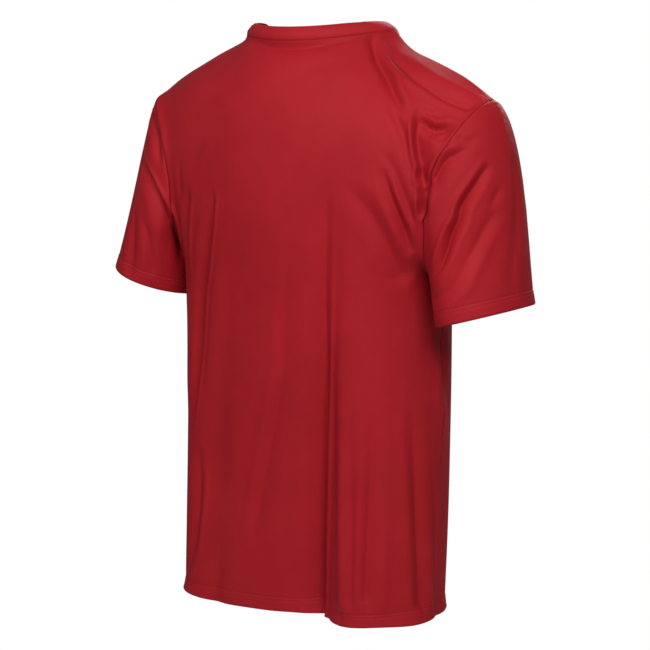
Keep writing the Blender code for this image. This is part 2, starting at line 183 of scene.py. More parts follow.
BODY_LEVELS = table(
    "height  left_half  right_half  back_reach  front_reach  back_round  front_round",
    (-0.302, 0.183, 0.183, 0.121, 0.126, 0.92, 0.92),
    (-0.360, 0.182, 0.184, 0.117, 0.123, 0.88, 0.90),
    (-0.440, 0.179, 0.184, 0.111, 0.117, 0.83, 0.88),
    (-0.540, 0.179, 0.183, 0.103, 0.110, 0.77, 0.87),
    (-0.640, 0.182, 0.182, 0.097, 0.105, 0.71, 0.86),
    (-0.745, 0.185, 0.181, 0.094, 0.103, 0.64, 0.86),
)
SLEEVE_STARTS = table(
    "turn  out  back  up  pull",
    (0.00, 0.78, 0.00, -0.62, 0.125),
    (0.12, 0.58, 0.08, -0.80, 0.100),
    (0.30, 0.60, 0.20, -0.76, 0.095),
    (0.50, 0.44, 0.00, -0.90, 0.040),
    (0.70, 0.72, -0.30, -0.62, 0.110),
    (0.88, 0.78, -0.16, -0.60, 0.130),
    (1.00, 0.78, 0.00, -0.62, 0.125),
)
ARMS = table(
    "side  shoulder_half  cuff_out  cuff_back  cuff_height  cuff_tilt  back_lift  fullness"
    "  seam_inwards  underarm_round  cuff_turn",
    (1, 0.234, 0.240, 0.011, -0.330, math.radians(22), 0.007, 0.60, 0.029, 1.10, 0.0),
    (-1, 0.248, 0.250, 0.018, -0.349, math.radians(15), 0.000, 1.06, 0.006, 0.60, math.radians(9)),
)
BAND_LEANS = table(
    "turn  inwards  up",
    (0.00, 0.017, 0.011),
    (0.12, 0.011, 0.015),
    (0.25, 0.007, 0.018),
    (0.38, 0.011, 0.015),
    (0.50, 0.017, 0.011),
    (0.62, 0.014, 0.013),
    (0.75, 0.013, 0.014),
    (0.88, 0.014, 0.013),
    (1.00, 0.017, 0.011),
)
print("levels down the body:", [row["height"] for row in BODY_LEVELS])

# %% [markdown]
# The largest folds are the ones the solids have too: the long valley down the back with the
# full lobe beside it, the fold under the far armhole, and softer ones on the front. Each runs
# along a straight line on the cloth. Across is measured from the panel's centre line, with
# plus towards the wearer's left. A depth above zero is a trough and below zero a ridge.

# %% Large folds
FOLD_COLUMNS = "across  height  end_across  end_height  bow  depth  end_depth  right_width  left_width"
BACK_FOLDS = table(
    FOLD_COLUMNS,
    (-0.100, -0.180, -0.052, -0.860, 0.000, 0.002, 0.030, 0.020, 0.060),
    (-0.135, -0.260, -0.125, -0.860, 0.000, -0.002, -0.024, 0.050, 0.034),
    (0.060, -0.260, 0.125, -0.640, 0.006, 0.003, 0.005, 0.030, 0.030),
    (0.160, -0.420, 0.170, -0.900, 0.000, -0.004, -0.012, 0.040, 0.040),
)
FRONT_FOLDS = table(
    FOLD_COLUMNS,
    (0.085, -0.230, 0.055, -0.860, 0.000, 0.002, 0.024, 0.045, 0.024),
    (0.130, -0.300, 0.125, -0.860, 0.000, -0.002, -0.018, 0.034, 0.045),
    (-0.120, -0.260, -0.080, -0.860, 0.000, 0.002, 0.018, 0.024, 0.045),
    (-0.160, -0.330, -0.160, -0.860, 0.000, -0.002, -0.014, 0.040, 0.034),
)
print("large folds:", len(BACK_FOLDS), "behind and", len(FRONT_FOLDS), "in front")

# %% [markdown]
# ## Curves through the tables
#
# Two small helpers do most of the drafting. One reads a smooth curve through a column of a
# table, and the other is a soft step from 0 to 1 that fades one thing into another.

# %% Curve helpers
def smooth_along(rows, column, at, by="share"):
    """A smooth curve through one column of a table, read at one place or at an array of them."""
    places = np.array([row[by] for row in rows], float)
    values = np.array([row[column] for row in rows], float)
    if places[0] > places[-1]:
        places, values = places[::-1], values[::-1]
    slopes = np.gradient(values, places)
    at = np.clip(at, places[0], places[-1])
    left = np.clip(np.searchsorted(places, at, side="right") - 1, 0, len(places) - 2)
    span = places[left + 1] - places[left]
    t = (at - places[left]) / span
    rise = values[left + 1] - values[left]
    curve = values[left] + rise * (3 - 2 * t) * t**2
    curve += span * slopes[left] * t * (1 - t) ** 2
    return curve - span * slopes[left + 1] * t**2 * (1 - t)


def ease(t):
    """0 below 0, 1 above 1, and smooth between."""
    t = np.clip(t, 0.0, 1.0)
    return t * t * (3 - 2 * t)


print("halfway down, the armhole keeps", smooth_along(ARMHOLE, "back_keep", 0.5), "of its width behind")

# %% [markdown]
# ## How finely the cloth is divided
#
# A crease 6 mm wide needs a point every 3 mm or so, and a seam or a row of stitches needs them
# closer still. Evenly small squares would make the panels too heavy, so the columns crowd
# together beside the armhole and side seams, and the rows crowd together in the hem.

# %% Columns and rows of the panels
EDGE_STEPS = np.array([0.0062, 0.0046, 0.0032, 0.0020, 0.0010, 0.0])  # metres from the seam
PLAIN_SHARE = 0.20  # the middle of a panel has few creases, and wide columns
HALF_SHARES = np.concatenate(
    [
        np.linspace(0, PLAIN_SHARE, 15),
        np.linspace(PLAIN_SHARE, NECK_SHARE, 30)[1:],
        np.linspace(NECK_SHARE, 1 - EDGE_STEPS[0] / CLOTH_HALF, 69)[1:-1],
        1 - EDGE_STEPS / CLOTH_HALF,
    ]
)
NECK_COLUMN = 43
HALF_COLUMNS = len(HALF_SHARES) - 1
UNDERARM_STEPS = 0.05 * (np.arange(12) / 12) ** 1.67  # short steps where the armhole turns in
UPPER_SHARES = np.concatenate(
    [
        [0.0, 0.004, 0.009, 0.015],
        np.linspace(0.023, 0.95, 89)[:-1],
        1 - np.append(0.05, UNDERARM_STEPS[::-1]),
    ]
)
UNDERARM_ROW = len(UPPER_SHARES) - 1
HEM_STEPS = np.array(
    [0.0235, 0.0210, 0.0195, 0.0185, 0.0175, 0.0160, 0.0145, 0.0135, 0.0125, 0.0105, 0.0080]
    + [0.0055, 0.0035, 0.0018, 0.0008, 0.0]
)
BODY_ROWS = 85
body_shares = (np.arange(1, BODY_ROWS) / BODY_ROWS) ** 1.25
LOWER_HEIGHTS = np.concatenate(
    [
        UNDERARM_HEIGHT + (HEM_HEIGHT + HEM_STEPS[0] - UNDERARM_HEIGHT) * body_shares,
        HEM_HEIGHT + HEM_STEPS,
    ]
)
across_line = CLOTH_HALF * np.concatenate([HALF_SHARES[::-1], -HALF_SHARES[1:]])
print("panel grid:", UNDERARM_ROW + 1 + len(LOWER_HEIGHTS), "x", 2 * HALF_COLUMNS + 1)


# %% [markdown]
# ## The smooth form of a panel
#
# Each row of a panel is half an oval from the centre line to the seam, and is divided evenly
# along its length, so a column of the grid follows the same thread of cloth all the way down.
# Above the underarm the rows end on the armhole. At the top they blend into the neck seam and
# the shoulder seams. The same could be had by pulling a flat sheet over a body shape, but
# a drafted form keeps its sizes exactly.
#
# Each end of a row has two places: its guide, where it would lie on the body alone, and its
# edge on the seam. The middle of the row follows the guide, and its outer part bends to the edge.

# %% Panel rows
GUIDED_SHARE = 0.40  # how much of half a row follows the body alone


def half_row(centre, edge, turn, roundness):
    """One row of a panel from its centre line to its edge, as an arc that ends at this turn."""
    share = np.linspace(0.0, 1.0, 400)
    angle = share * turn
    across = edge[0] * (np.sin(angle) / math.sin(turn)) ** roundness
    fall = (1 - np.cos(angle) ** roundness) / (1 - math.cos(turn) ** roundness)
    reach = centre[1] + (edge[1] - centre[1]) * fall
    height = centre[2] + (edge[2] - centre[2]) * share**2
    points = np.stack([across, reach, height], axis=1)
    length = np.concatenate([[0.0], np.cumsum(np.linalg.norm(np.diff(points, axis=0), axis=1))])
    at = HALF_SHARES * length[-1]
    return np.stack([np.interp(at, length, points[:, k]) for k in range(3)], axis=1)


def whole_row(centre, edges, guides, turn, roundness):
    """A row from the wearer's left to right, along its guides and out to its edges near the ends."""
    local = ease((HALF_SHARES - GUIDED_SHARE) / (1 - GUIDED_SHARE))[:, None]
    left, right = (
        half_row(centre, guide, turn, roundness) + local * (edge - guide)
        for edge, guide in zip(edges, guides)
    )
    return np.concatenate([left[::-1], right[1:]])


print("points in a row:", 2 * len(HALF_SHARES) - 1)

# %% [markdown]
# ## The edges of a panel
#
# The armhole is a tall oval that leans in at the underarm. Behind and in front it has its own
# depth, and the two arms hang differently, so each side has its own row of sizes. The upper edge
# is one line from shoulder to shoulder with the neck's curve in its middle.

# %% Panel edges
GUIDE_ROUND = 1.5


def arm_of(side):
    return next(arm for arm in ARMS if arm["side"] == side)


def armhole_point(share, side, facing):
    """A point of the armhole's seam. Facing is +1 behind and -1 in front."""
    keep = smooth_along(ARMHOLE, "back_keep" if facing > 0 else "front_keep", share)
    shoulder_height = -SHOULDER_SEAMS[-1][SIDE_NAMES[side] + "_drop"]
    middle = (shoulder_height + UNDERARM_HEIGHT) / 2
    half = (shoulder_height - UNDERARM_HEIGHT) / 2
    out = UNDERARM_HALF + (arm_of(side)["shoulder_half"] - UNDERARM_HALF) * keep
    bow = max(math.sin(math.pi * share), 0.0)
    if facing > 0:
        out -= arm_of(side)["seam_inwards"] * bow**2
        reach = ARMHOLE_BACK * (bow ** arm_of(side)["underarm_round"] if share > 0.5 else bow)
    else:
        reach = -ARMHOLE_FRONT * bow
    back = SIDE_SEAM_BACK * share + reach
    return np.array([side * out, back, middle + half * math.cos(math.pi * share)])


def armhole_guide(share, side, facing):
    """Where a row would end if it only followed the body, which is flatter near the underarm."""
    guide = armhole_point(share, side, facing)
    bow = max(math.sin(math.pi * share), 0.0)
    if share > 0.5:
        reach = ARMHOLE_BACK if facing > 0 else -ARMHOLE_FRONT
        guide[1] = SIDE_SEAM_BACK * share + reach * bow**GUIDE_ROUND
    return guide


def top_edge(facing):
    """The upper edge of a panel: one shoulder seam, the neck seam and the other shoulder seam."""
    reach = NECK_BACK if facing > 0 else NECK_FRONT
    drop = NECK_BACK_DROP if facing > 0 else NECK_FRONT_DROP
    halves = []
    for side in (1, -1):
        half = []
        for share in HALF_SHARES:
            if share <= NECK_SHARE + 1e-9:
                angle = math.pi / 2 * min(share / NECK_SHARE, 1.0)
                cosine = max(math.cos(angle), 0.0)
                back = -NECK_FORWARD + (facing * reach + NECK_FORWARD) * cosine
                half.append((side * NECK_HALF * math.sin(angle), back, -drop * cosine**NECK_ROUND))
            else:
                along = (share - NECK_SHARE) / (1 - NECK_SHARE)
                out = NECK_HALF + (arm_of(side)["shoulder_half"] - NECK_HALF) * along
                fall = smooth_along(SHOULDER_SEAMS, SIDE_NAMES[side] + "_drop", along)
                half.append((side * out, -NECK_FORWARD * (1 - along), -fall))
        halves.append(np.array(half))
    return np.concatenate([halves[0][::-1], halves[1][1:]])


print("shoulder ends:", *[np.round(top_edge(1)[end], 3) for end in (0, -1)])

# %% [markdown]
# ## From rows to a surface
#
# The first row has to land on the neck and shoulder seams, so it is shifted there point by point.
# The rows below are shifted too, less and less, and each shift is spread over a wider stretch of
# cloth. The corners of the neckline would otherwise run down the panel as creases.

# %% Panel surface
SHIFT_SPREAD = 0.25  # how wide a shift is spread, times the row's share of the way down
SHIFT_FADE = 2.6


def spread_shift(shift, width):
    """A row's shifts, averaged over a width of cloth, with the two ends kept."""
    step = np.gradient(-across_line)[None]
    plain = np.exp(-(((across_line[:, None] - across_line[None]) / width) ** 2)) * step
    mirrored = sum(
        np.exp(-(((across_line[:, None] - (end - across_line[None])) / width) ** 2)) * step
        for end in (-2 * CLOTH_HALF, 2 * CLOTH_HALF)
    )
    return (plain - mirrored) @ shift / (plain + mirrored).sum(axis=1, keepdims=True)


def panel_base(facing):
    """A panel's smooth surface, as rows of points from the wearer's left to right."""
    name = "back" if facing > 0 else "front"
    rows = []
    for share in UPPER_SHARES:
        reach = facing * smooth_along(CENTRE_LINES, f"{name}_reach", share)
        centre = (0.0, reach, smooth_along(CENTRE_LINES, f"{name}_height", share))
        turn = float(smooth_along(CENTRE_LINES, "turn", share))
        edges = [armhole_point(share, side, facing) for side in (1, -1)]
        guides = [armhole_guide(share, side, facing) for side in (1, -1)]
        rows.append(whole_row(centre, edges, guides, turn, BODY_LEVELS[0][f"{name}_round"]))
    collar_shift = top_edge(facing) - rows[0]
    rows[0] = rows[0] + collar_shift
    for index, share in enumerate(UPPER_SHARES[1:], start=1):
        shift = spread_shift(collar_shift, SHIFT_SPREAD * share)
        rows[index] = rows[index] + shift * (1 - share) ** SHIFT_FADE
    for height in LOWER_HEIGHTS:
        size = {key: float(smooth_along(BODY_LEVELS, key, height, "height")) for key in BODY_LEVELS[0]}
        centre = (0.0, facing * size[f"{name}_reach"], height)
        halves = (size["left_half"], -size["right_half"])
        edges = [np.array([half, SIDE_SEAM_BACK, height]) for half in halves]
        rows.append(whole_row(centre, edges, edges, math.pi / 2, size[f"{name}_round"]))
    return np.array(rows)


bases = [panel_base(facing) for facing in (1, -1)]
print("rows and columns of a panel:", bases[0].shape[:2])

# %% [markdown]
# ## Normals and lengths
#
# Folds and creases move cloth along the direction it faces, its normal. On a grid the normal is
# square to the row and to the column through a point. Lengths are measured down the columns,
# because they follow the threads, and they say where the knit goes.

# %% Measure a grid
def grid_normals(grid, closed=False):
    """The direction square to a grid of points, from its rows and columns."""
    if closed:
        ring = np.concatenate([grid[:, -2:-1], grid, grid[:, 1:2]], axis=1)
        around = np.gradient(ring, axis=1)[:, 1:-1]
    else:
        around = np.gradient(grid, axis=1)
    normals = np.cross(np.gradient(grid, axis=0), around)
    return normals / np.maximum(np.linalg.norm(normals, axis=2, keepdims=True), 1e-12)


def thread_lengths(grid):
    """How far each point lies down its thread, from the first row."""
    steps = np.linalg.norm(np.diff(grid, axis=0), axis=2)
    return np.concatenate([np.zeros((1, grid.shape[1])), np.cumsum(steps, axis=0)])


print(f"longest thread of the back: {thread_lengths(bases[0]).max():.3f} m")

# %% [markdown]
# ## The panels with their large folds
#
# Where the armhole turns into the side seam, the rows change from one rule to another, and a kink
# would show there. So both panels are smoothed, as if they were one sheet joined at the side
# seams: each point moves part of the way to the middle of its four neighbours, along its normal
# alone. Every second pass moves a little the other way, which removes kinks and keeps the form
# from shrinking. Coarse copies of the grids go first, because they carry a change further.
# The armhole seam stays where it was drafted, and the side seam is set free row by row below it.
# Then the large folds are pressed in, and fade out beside the seams.

# %% Smooth and fold the panels
SMOOTH_IN, SMOOTH_OUT = 0.60, -0.61  # shares of the way to the middle of a point's neighbours
SMOOTH_STEPS, SMOOTH_ROUNDS = (8, 4, 2, 1), (160, 100, 60, 40)
FREE_ROWS = 30  # this many rows below the underarm, the side seam moves as freely as the rest
FOLD_FADE = 0.2  # the share of a large fold's length in which it fades in or out
FOLD_HOLD = 0.035  # metres beside a panel's edge in which the large folds fade out


def large_fold_depth(folds, across, height):
    """How far the large folds press the cloth in at each point."""
    total = np.zeros_like(across)
    for fold in folds:
        run = np.array([fold["end_across"] - fold["across"], fold["end_height"] - fold["height"]])
        length = np.linalg.norm(run)
        along = ((across - fold["across"]) * run[0] + (height - fold["height"]) * run[1]) / length**2
        beside = ((across - fold["across"]) * run[1] - (height - fold["height"]) * run[0]) / length
        beside = -beside - fold["bow"] * 4 * along * (1 - along)
        width = np.where(beside > 0, fold["left_width"], fold["right_width"])
        depth = fold["depth"] + (fold["end_depth"] - fold["depth"]) * np.clip(along, 0, 1)
        fade = ease(along / FOLD_FADE + 0.5) * ease((1 - along) / FOLD_FADE)
        total += depth * fade * np.exp(-((beside / width) ** 2))
    return total


def relax(panels, rounds, freedom):
    """Smooth away both panels' kinks. Freedom says how far each row's edge may move, from 0 to 1."""
    for turn in range(rounds):
        joined = [
            np.concatenate([other[:, 1:2], grid, other[:, -2:-1]], axis=1)
            for grid, other in (panels, panels[::-1])
        ]
        for grid, wide in zip(panels, joined):
            middle = (wide[2:, 1:-1] + wide[:-2, 1:-1] + wide[1:-1, 2:] + wide[1:-1, :-2]) / 4
            normals = grid_normals(wide)[1:-1, 1:-1]
            pull = np.sum((middle - grid[1:-1]) * normals, axis=2, keepdims=True)
            pull[:, [0, -1]] *= freedom[1:-1, None, None]
            grid[1:-1] += (SMOOTH_IN if turn % 2 == 0 else SMOOTH_OUT) * pull * normals


def relaxed(panels):
    """Both panels, smoothed on coarse copies of their grids first and then on the grids themselves."""
    panels = [panel.copy() for panel in panels]
    row_count, column_count = panels[0].shape[:2]
    for step, times in zip(SMOOTH_STEPS, SMOOTH_ROUNDS):
        rows = np.unique([*range(0, row_count, step), UNDERARM_ROW, row_count - 1])
        columns = np.unique([*range(0, column_count, step), column_count - 1])
        coarse = [panel[rows][:, columns] for panel in panels]
        before = [grid.copy() for grid in coarse]
        relax(coarse, times, ease((rows - UNDERARM_ROW) / FREE_ROWS))
        for panel, old, new in zip(panels, before, coarse):
            for axis in range(3):
                moved = (new - old)[:, :, axis]
                filled = np.array([np.interp(np.arange(column_count), columns, line) for line in moved])
                panel[:, :, axis] += np.array(
                    [np.interp(np.arange(row_count), rows, line) for line in filled.T]
                ).T
    for column in (0, -1):
        panels[1][UNDERARM_ROW:, column] = panels[0][UNDERARM_ROW:, column]
    return panels


cloth = {}
panels = (("back_panel", 1, BACK_FOLDS), ("front_panel", -1, FRONT_FOLDS))
for (panel_name, facing, folds), base in zip(panels, relaxed(bases)):
    across = np.broadcast_to(across_line, base.shape[:2])
    outwards = grid_normals(base) * facing
    hold = ease((CLOTH_HALF - np.abs(across)) / FOLD_HOLD)
    points = base - outwards * (hold * large_fold_depth(folds, across, base[:, :, 2]))[:, :, None]
    down = thread_lengths(base)
    flat = np.stack([across, down - down[UNDERARM_ROW]], axis=2)
    cloth[panel_name] = {
        "points": points,
        "height": base[:, :, 2],
        "closed": False,
        "sign": facing,
        "flat": flat,
    }
    print(f"{panel_name} reaches", np.round(points.reshape(-1, 3).max(axis=0), 3))

# %% [markdown]
# ## The form of the sleeves
#
# A sleeve starts on the armhole seam and ends in the oval of its cuff. Between them every thread
# follows a curve that leaves the armhole in one direction and reaches the cuff in another, which
# gives the rounded cap and the straight drop of a set-in sleeve. The rings begin and end at the
# underarm, where the real sleeve is sewn closed.

# %% Sleeve rings
SEAM_STEPS = EDGE_STEPS[::-1]
MIDDLE_ROWS = 100
SLEEVE_ROUND = 0.43  # metres round the sleeve's cloth, at its middle
sleeve_turns = np.concatenate([UPPER_SHARES[::-1] / 2, 1 - UPPER_SHARES[1:] / 2])


def sleeve_base(side):
    """A sleeve as rings from the armhole to the cuff's edge."""
    column = 0 if side > 0 else -1
    back, front = (
        cloth[name]["points"][: UNDERARM_ROW + 1, column] for name in ("back_panel", "front_panel")
    )
    ring = np.concatenate([back[::-1], front[1:]])
    angle = 2 * math.pi * sleeve_turns
    arm = arm_of(side)
    tilt = arm["cuff_tilt"]
    wide, deep = CUFF_HALF_WIDTH * np.cos(angle), CUFF_HALF_DEPTH * np.sin(angle)
    turned = arm["cuff_turn"]
    out = wide * math.cos(turned) - deep * math.sin(turned)
    back = wide * math.sin(turned) + deep * math.cos(turned)
    cuff = np.stack(
        [
            side * (arm["cuff_out"] + out * math.cos(tilt)),
            arm["cuff_back"] + back,
            arm["cuff_height"] + out * math.sin(tilt) + arm["back_lift"] * np.sin(angle),
        ],
        axis=1,
    )
    start = {key: smooth_along(SLEEVE_STARTS, key, sleeve_turns, "turn") for key in SLEEVE_STARTS[0]}
    leaving = np.stack([side * start["out"], start["back"], start["up"]], axis=1)
    leaving *= start["pull"][:, None] * arm["fullness"]
    arriving = np.array([side * math.sin(tilt), 0.0, -math.cos(tilt)]) * SLEEVE_END_PULL
    t = np.linspace(0.0, 1.0, 300)[:, None, None]
    curves = ring * (1 - t) ** 2 * (1 + 2 * t) + cuff * t**2 * (3 - 2 * t)
    curves = curves + leaving * t * (1 - t) ** 2 - arriving * t**2 * (1 - t)
    lengths = thread_lengths(curves)
    rings = []
    for k in range(len(ring)):
        full = lengths[-1, k]
        middle = np.linspace(SEAM_STEPS[-1], full - HEM_STEPS[0], MIDDLE_ROWS)[1:-1]
        at = np.concatenate([SEAM_STEPS, middle, full - HEM_STEPS])
        rings.append(np.stack([np.interp(at, lengths[:, k], curves[:, k, i]) for i in range(3)], axis=1))
    return np.stack(rings, axis=1), lengths[-1]


for side in (1, -1):
    points, lengths = sleeve_base(side)
    around = np.broadcast_to(sleeve_turns * SLEEVE_ROUND, points.shape[:2])
    flat = np.stack([around, thread_lengths(points)], axis=2)
    cloth[f"sleeve_{SIDE_NAMES[side]}"] = {"points": points, "closed": True, "sign": -side, "flat": flat}
    print(f"sleeve_{SIDE_NAMES[side]}: {points.shape[0]} x {points.shape[1]}, longest {lengths.max():.3f} m")

# %% [markdown]
# ## Seams that stay closed
#
# Two pieces that are sewn together share every point of their seam. A crease moves cloth along
# the direction it faces, so at a seam both pieces must face the same way and be moved by the
# same amount, or the seam would gape. The directions are averaged there. A crease either
# crosses the seam on both sides, or fades out before it on either.

# %% Shared directions
SIDED_SEAMS = ("shoulder", "armhole", "side")
PANEL_SEAMS = ("neck", *[f"{seam}_{side}" for seam in SIDED_SEAMS for side in ("left", "right")])
SEAMS = {
    "back_panel": PANEL_SEAMS,
    "front_panel": PANEL_SEAMS,
    "sleeve_left": ("armhole_left",),
    "sleeve_right": ("armhole_right",),
}


def edge_places(points, closed):
    """The row and column of every point on the edges of a grid."""
    rows, columns = points.shape[:2]
    places = [(0, c) for c in range(columns)]
    if not closed:
        places += [(r, c) for r in range(1, rows) for c in (0, columns - 1)]
    return places


def share_normals():
    """Find the outward directions of all cloth, the same for all pieces where they are sewn."""
    sums = {}
    for piece in cloth.values():
        piece["normals"] = grid_normals(piece["points"], piece["closed"]) * piece["sign"]
        for place in edge_places(piece["points"], piece["closed"]):
            key = tuple(np.round(piece["points"][place], 6))
            sums[key] = sums.get(key, 0) + piece["normals"][place]
    for piece in cloth.values():
        for place in edge_places(piece["points"], piece["closed"]):
            total = sums[tuple(np.round(piece["points"][place], 6))]
            piece["normals"][place] = total / np.linalg.norm(total)


def seam_line(name):
    """The points of one seam."""
    back = cloth["back_panel"]["points"]
    front = cloth["front_panel"]["points"]
    column = 0 if name.endswith("left") else -1
    if name == "neck":
        middle = slice(HALF_COLUMNS - NECK_COLUMN, HALF_COLUMNS + NECK_COLUMN + 1)
        return np.concatenate([back[0, middle], front[0, middle]])
    if name.startswith("shoulder"):
        part = slice(0, HALF_COLUMNS - NECK_COLUMN + 1)
        return back[0, part] if column == 0 else back[0, ::-1][part]
    if name.startswith("side"):
        return back[UNDERARM_ROW:, column]
    return np.concatenate([back[: UNDERARM_ROW + 1, column], front[: UNDERARM_ROW + 1, column]])


def distance_to(points, line):
    """How far each point of a grid lies from the nearest point of a line."""
    flat = points.reshape(-1, 3).astype(np.float32)
    line = line.astype(np.float32)
    nearest = np.full(len(flat), 1e9, np.float32)
    for point in line:
        np.minimum(nearest, np.sum((flat - point) ** 2, axis=1), out=nearest)
    return np.sqrt(nearest).reshape(points.shape[:2])


share_normals()
for name, piece in cloth.items():
    piece["seam_distance"] = {seam: distance_to(piece["points"], seam_line(seam)) for seam in SEAMS[name]}
print("seams of the back:", ", ".join(SEAMS["back_panel"]))

# %% [markdown]
# ## Small creases
#
# Creases could come from a cloth simulation, but these have to sit where the picture shows them,
# so they are drawn. Each is a line of two to ten places on a piece, with how deep the cloth is
# pressed in at each of them, and how far the trough's slopes reach to either side, all in
# millimetres. A low number for soft makes a sharp crease, and 2 makes a rounded trough. Cloth is
# never lost in a crease, so it stands up a little on both sides of it. Crosses names the seams
# that the crease runs over.
#
# The creases that show were found in the picture, so their places are given as seen there, in
# pixels across and down. A helper further on finds the point of the cloth that shows at each one.
# Depths and widths can't be read off a picture, so they are real sizes, chosen one by one.

# %% Creases of the back
SEEN_COLUMNS = "on  seen_at  depths  right  left  soft  crosses"
BACK_CREASES = table(
    SEEN_COLUMNS,
    # the long valley's sharp bottom, and the edge of the lobe beside it
    ("back_panel", ((326, 175), (326, 230), (325, 290), (325, 350), (325, 420), (325, 500),
     (325, 560), (325, 612)),
     (0, 2.5, 5.0, 8.5, 12.0, 15.0, 16.0, 16.0), 4.2, 13, 1.15, ""),
    ("back_panel", ((341, 300), (341, 380), (341, 460), (341, 540), (342, 605)),
     (0, -2.0, -3.0, -3.6, -3.6), 12, 8, 2.0, ""),
    # soft valleys left of it
    ("back_panel", ((287, 255), (284, 320), (280, 376), (272, 430), (265, 470), (255, 520), (250, 545)),
     (0, 2.4, 3.8, 4.8, 5.0, 3.6, 0), 11, 6, 1.4, ""),
    ("back_panel", ((240, 390), (236, 460), (232, 530), (230, 600)),
     (0, -1.6, -2.2, -2.4), 22, 22, 2.0, ""),
    # below the left armhole, down to the side: a broad trough with a sharp line in it
    ("back_panel", ((208, 205), (205, 250), (201, 290), (198, 330), (194, 380), (189, 430)),
     (0, 5.0, 8.0, 9.0, 6.0, 0), 15, 15, 2.0, ""),
    ("back_panel", ((213, 188), (212, 207), (210, 225), (208, 245), (206, 265), (203, 290),
     (201, 320), (198, 360), (194, 400), (191, 432)),
     (0, 5.0, 8.0, 10.0, 11.5, 13.0, 13.5, 12.0, 8.0, 0), 3.4, 9, 1.2, ""),
    ("back_panel", ((188, 188), (187, 205), (187, 222), (188, 240), (189, 262), (190, 285)),
     (0, 4.5, 7.0, 8.5, 5.0, 0), 4, 7, 1.4, ""),
    ("back_panel", ((199, 440), (199, 480), (198, 510), (194, 540), (190, 565)),
     (0, 4.2, 6.0, 5.6, 3.0), 5, 9, 1.4, ""),
    ("back_panel", ((224, 540), (220, 570), (216, 600)),
     (0, 1.8, 2.4), 10, 10, 2.0, ""),
    ("back_panel", ((204, 138), (196, 155), (188, 176)),
     (0, 1.6, 0), 8, 8, 2.0, ""),
    ("back_panel", ((180, 150), (179, 180), (181, 205)),
     (0, 1.8, 0), 5, 5, 2.0, ""),
    # soft lengthwise ones on the right half
    ("back_panel", ((350, 400), (350, 460), (350, 520), (351, 600)),
     (0, 2.0, 3.2, 3.6), 6, 6, 1.6, ""),
    ("back_panel", ((372, 400), (371, 460), (369, 520), (366, 600)),
     (0, 2.8, 4.6, 4.8), 9, 6, 1.5, ""),
    ("back_panel", ((386, 480), (385, 540), (383, 608)),
     (0, -1.4, -1.8), 9, 9, 2.0, ""),
    ("back_panel", ((410, 390), (414, 450), (417, 520), (420, 600)),
     (0, 2.8, 4.4, 4.8), 9, 7, 1.6, ""),
    ("back_panel", ((400, 420), (402, 500), (403, 600)),
     (0, -1.2, -1.6), 12, 12, 2.0, ""),
    ("back_panel", ((433, 470), (436, 520), (437, 560), (438, 606)),
     (0, 3.0, 3.8, 3.4), 7, 7, 1.7, ""),
    ("back_panel", ((430, 330), (433, 350), (438, 380), (442, 410), (446, 440)),
     (0, -3.0, -3.6, -3.4, 0), 10, 14, 2.0, "side_right"),
    ("back_panel", ((440, 330), (443, 350), (446, 380), (447, 400)),
     (0, 3.0, 4.0, 2.0), 8, 6, 1.8, "side_right"),
)
print("creases of the back:", len(BACK_CREASES))

# %% [markdown]
# Where the near arm hangs down, cloth bunches between the shoulder blade and the underarm. These
# creases fan out from the right armhole, and the ones nearest the seam are short and sharp.

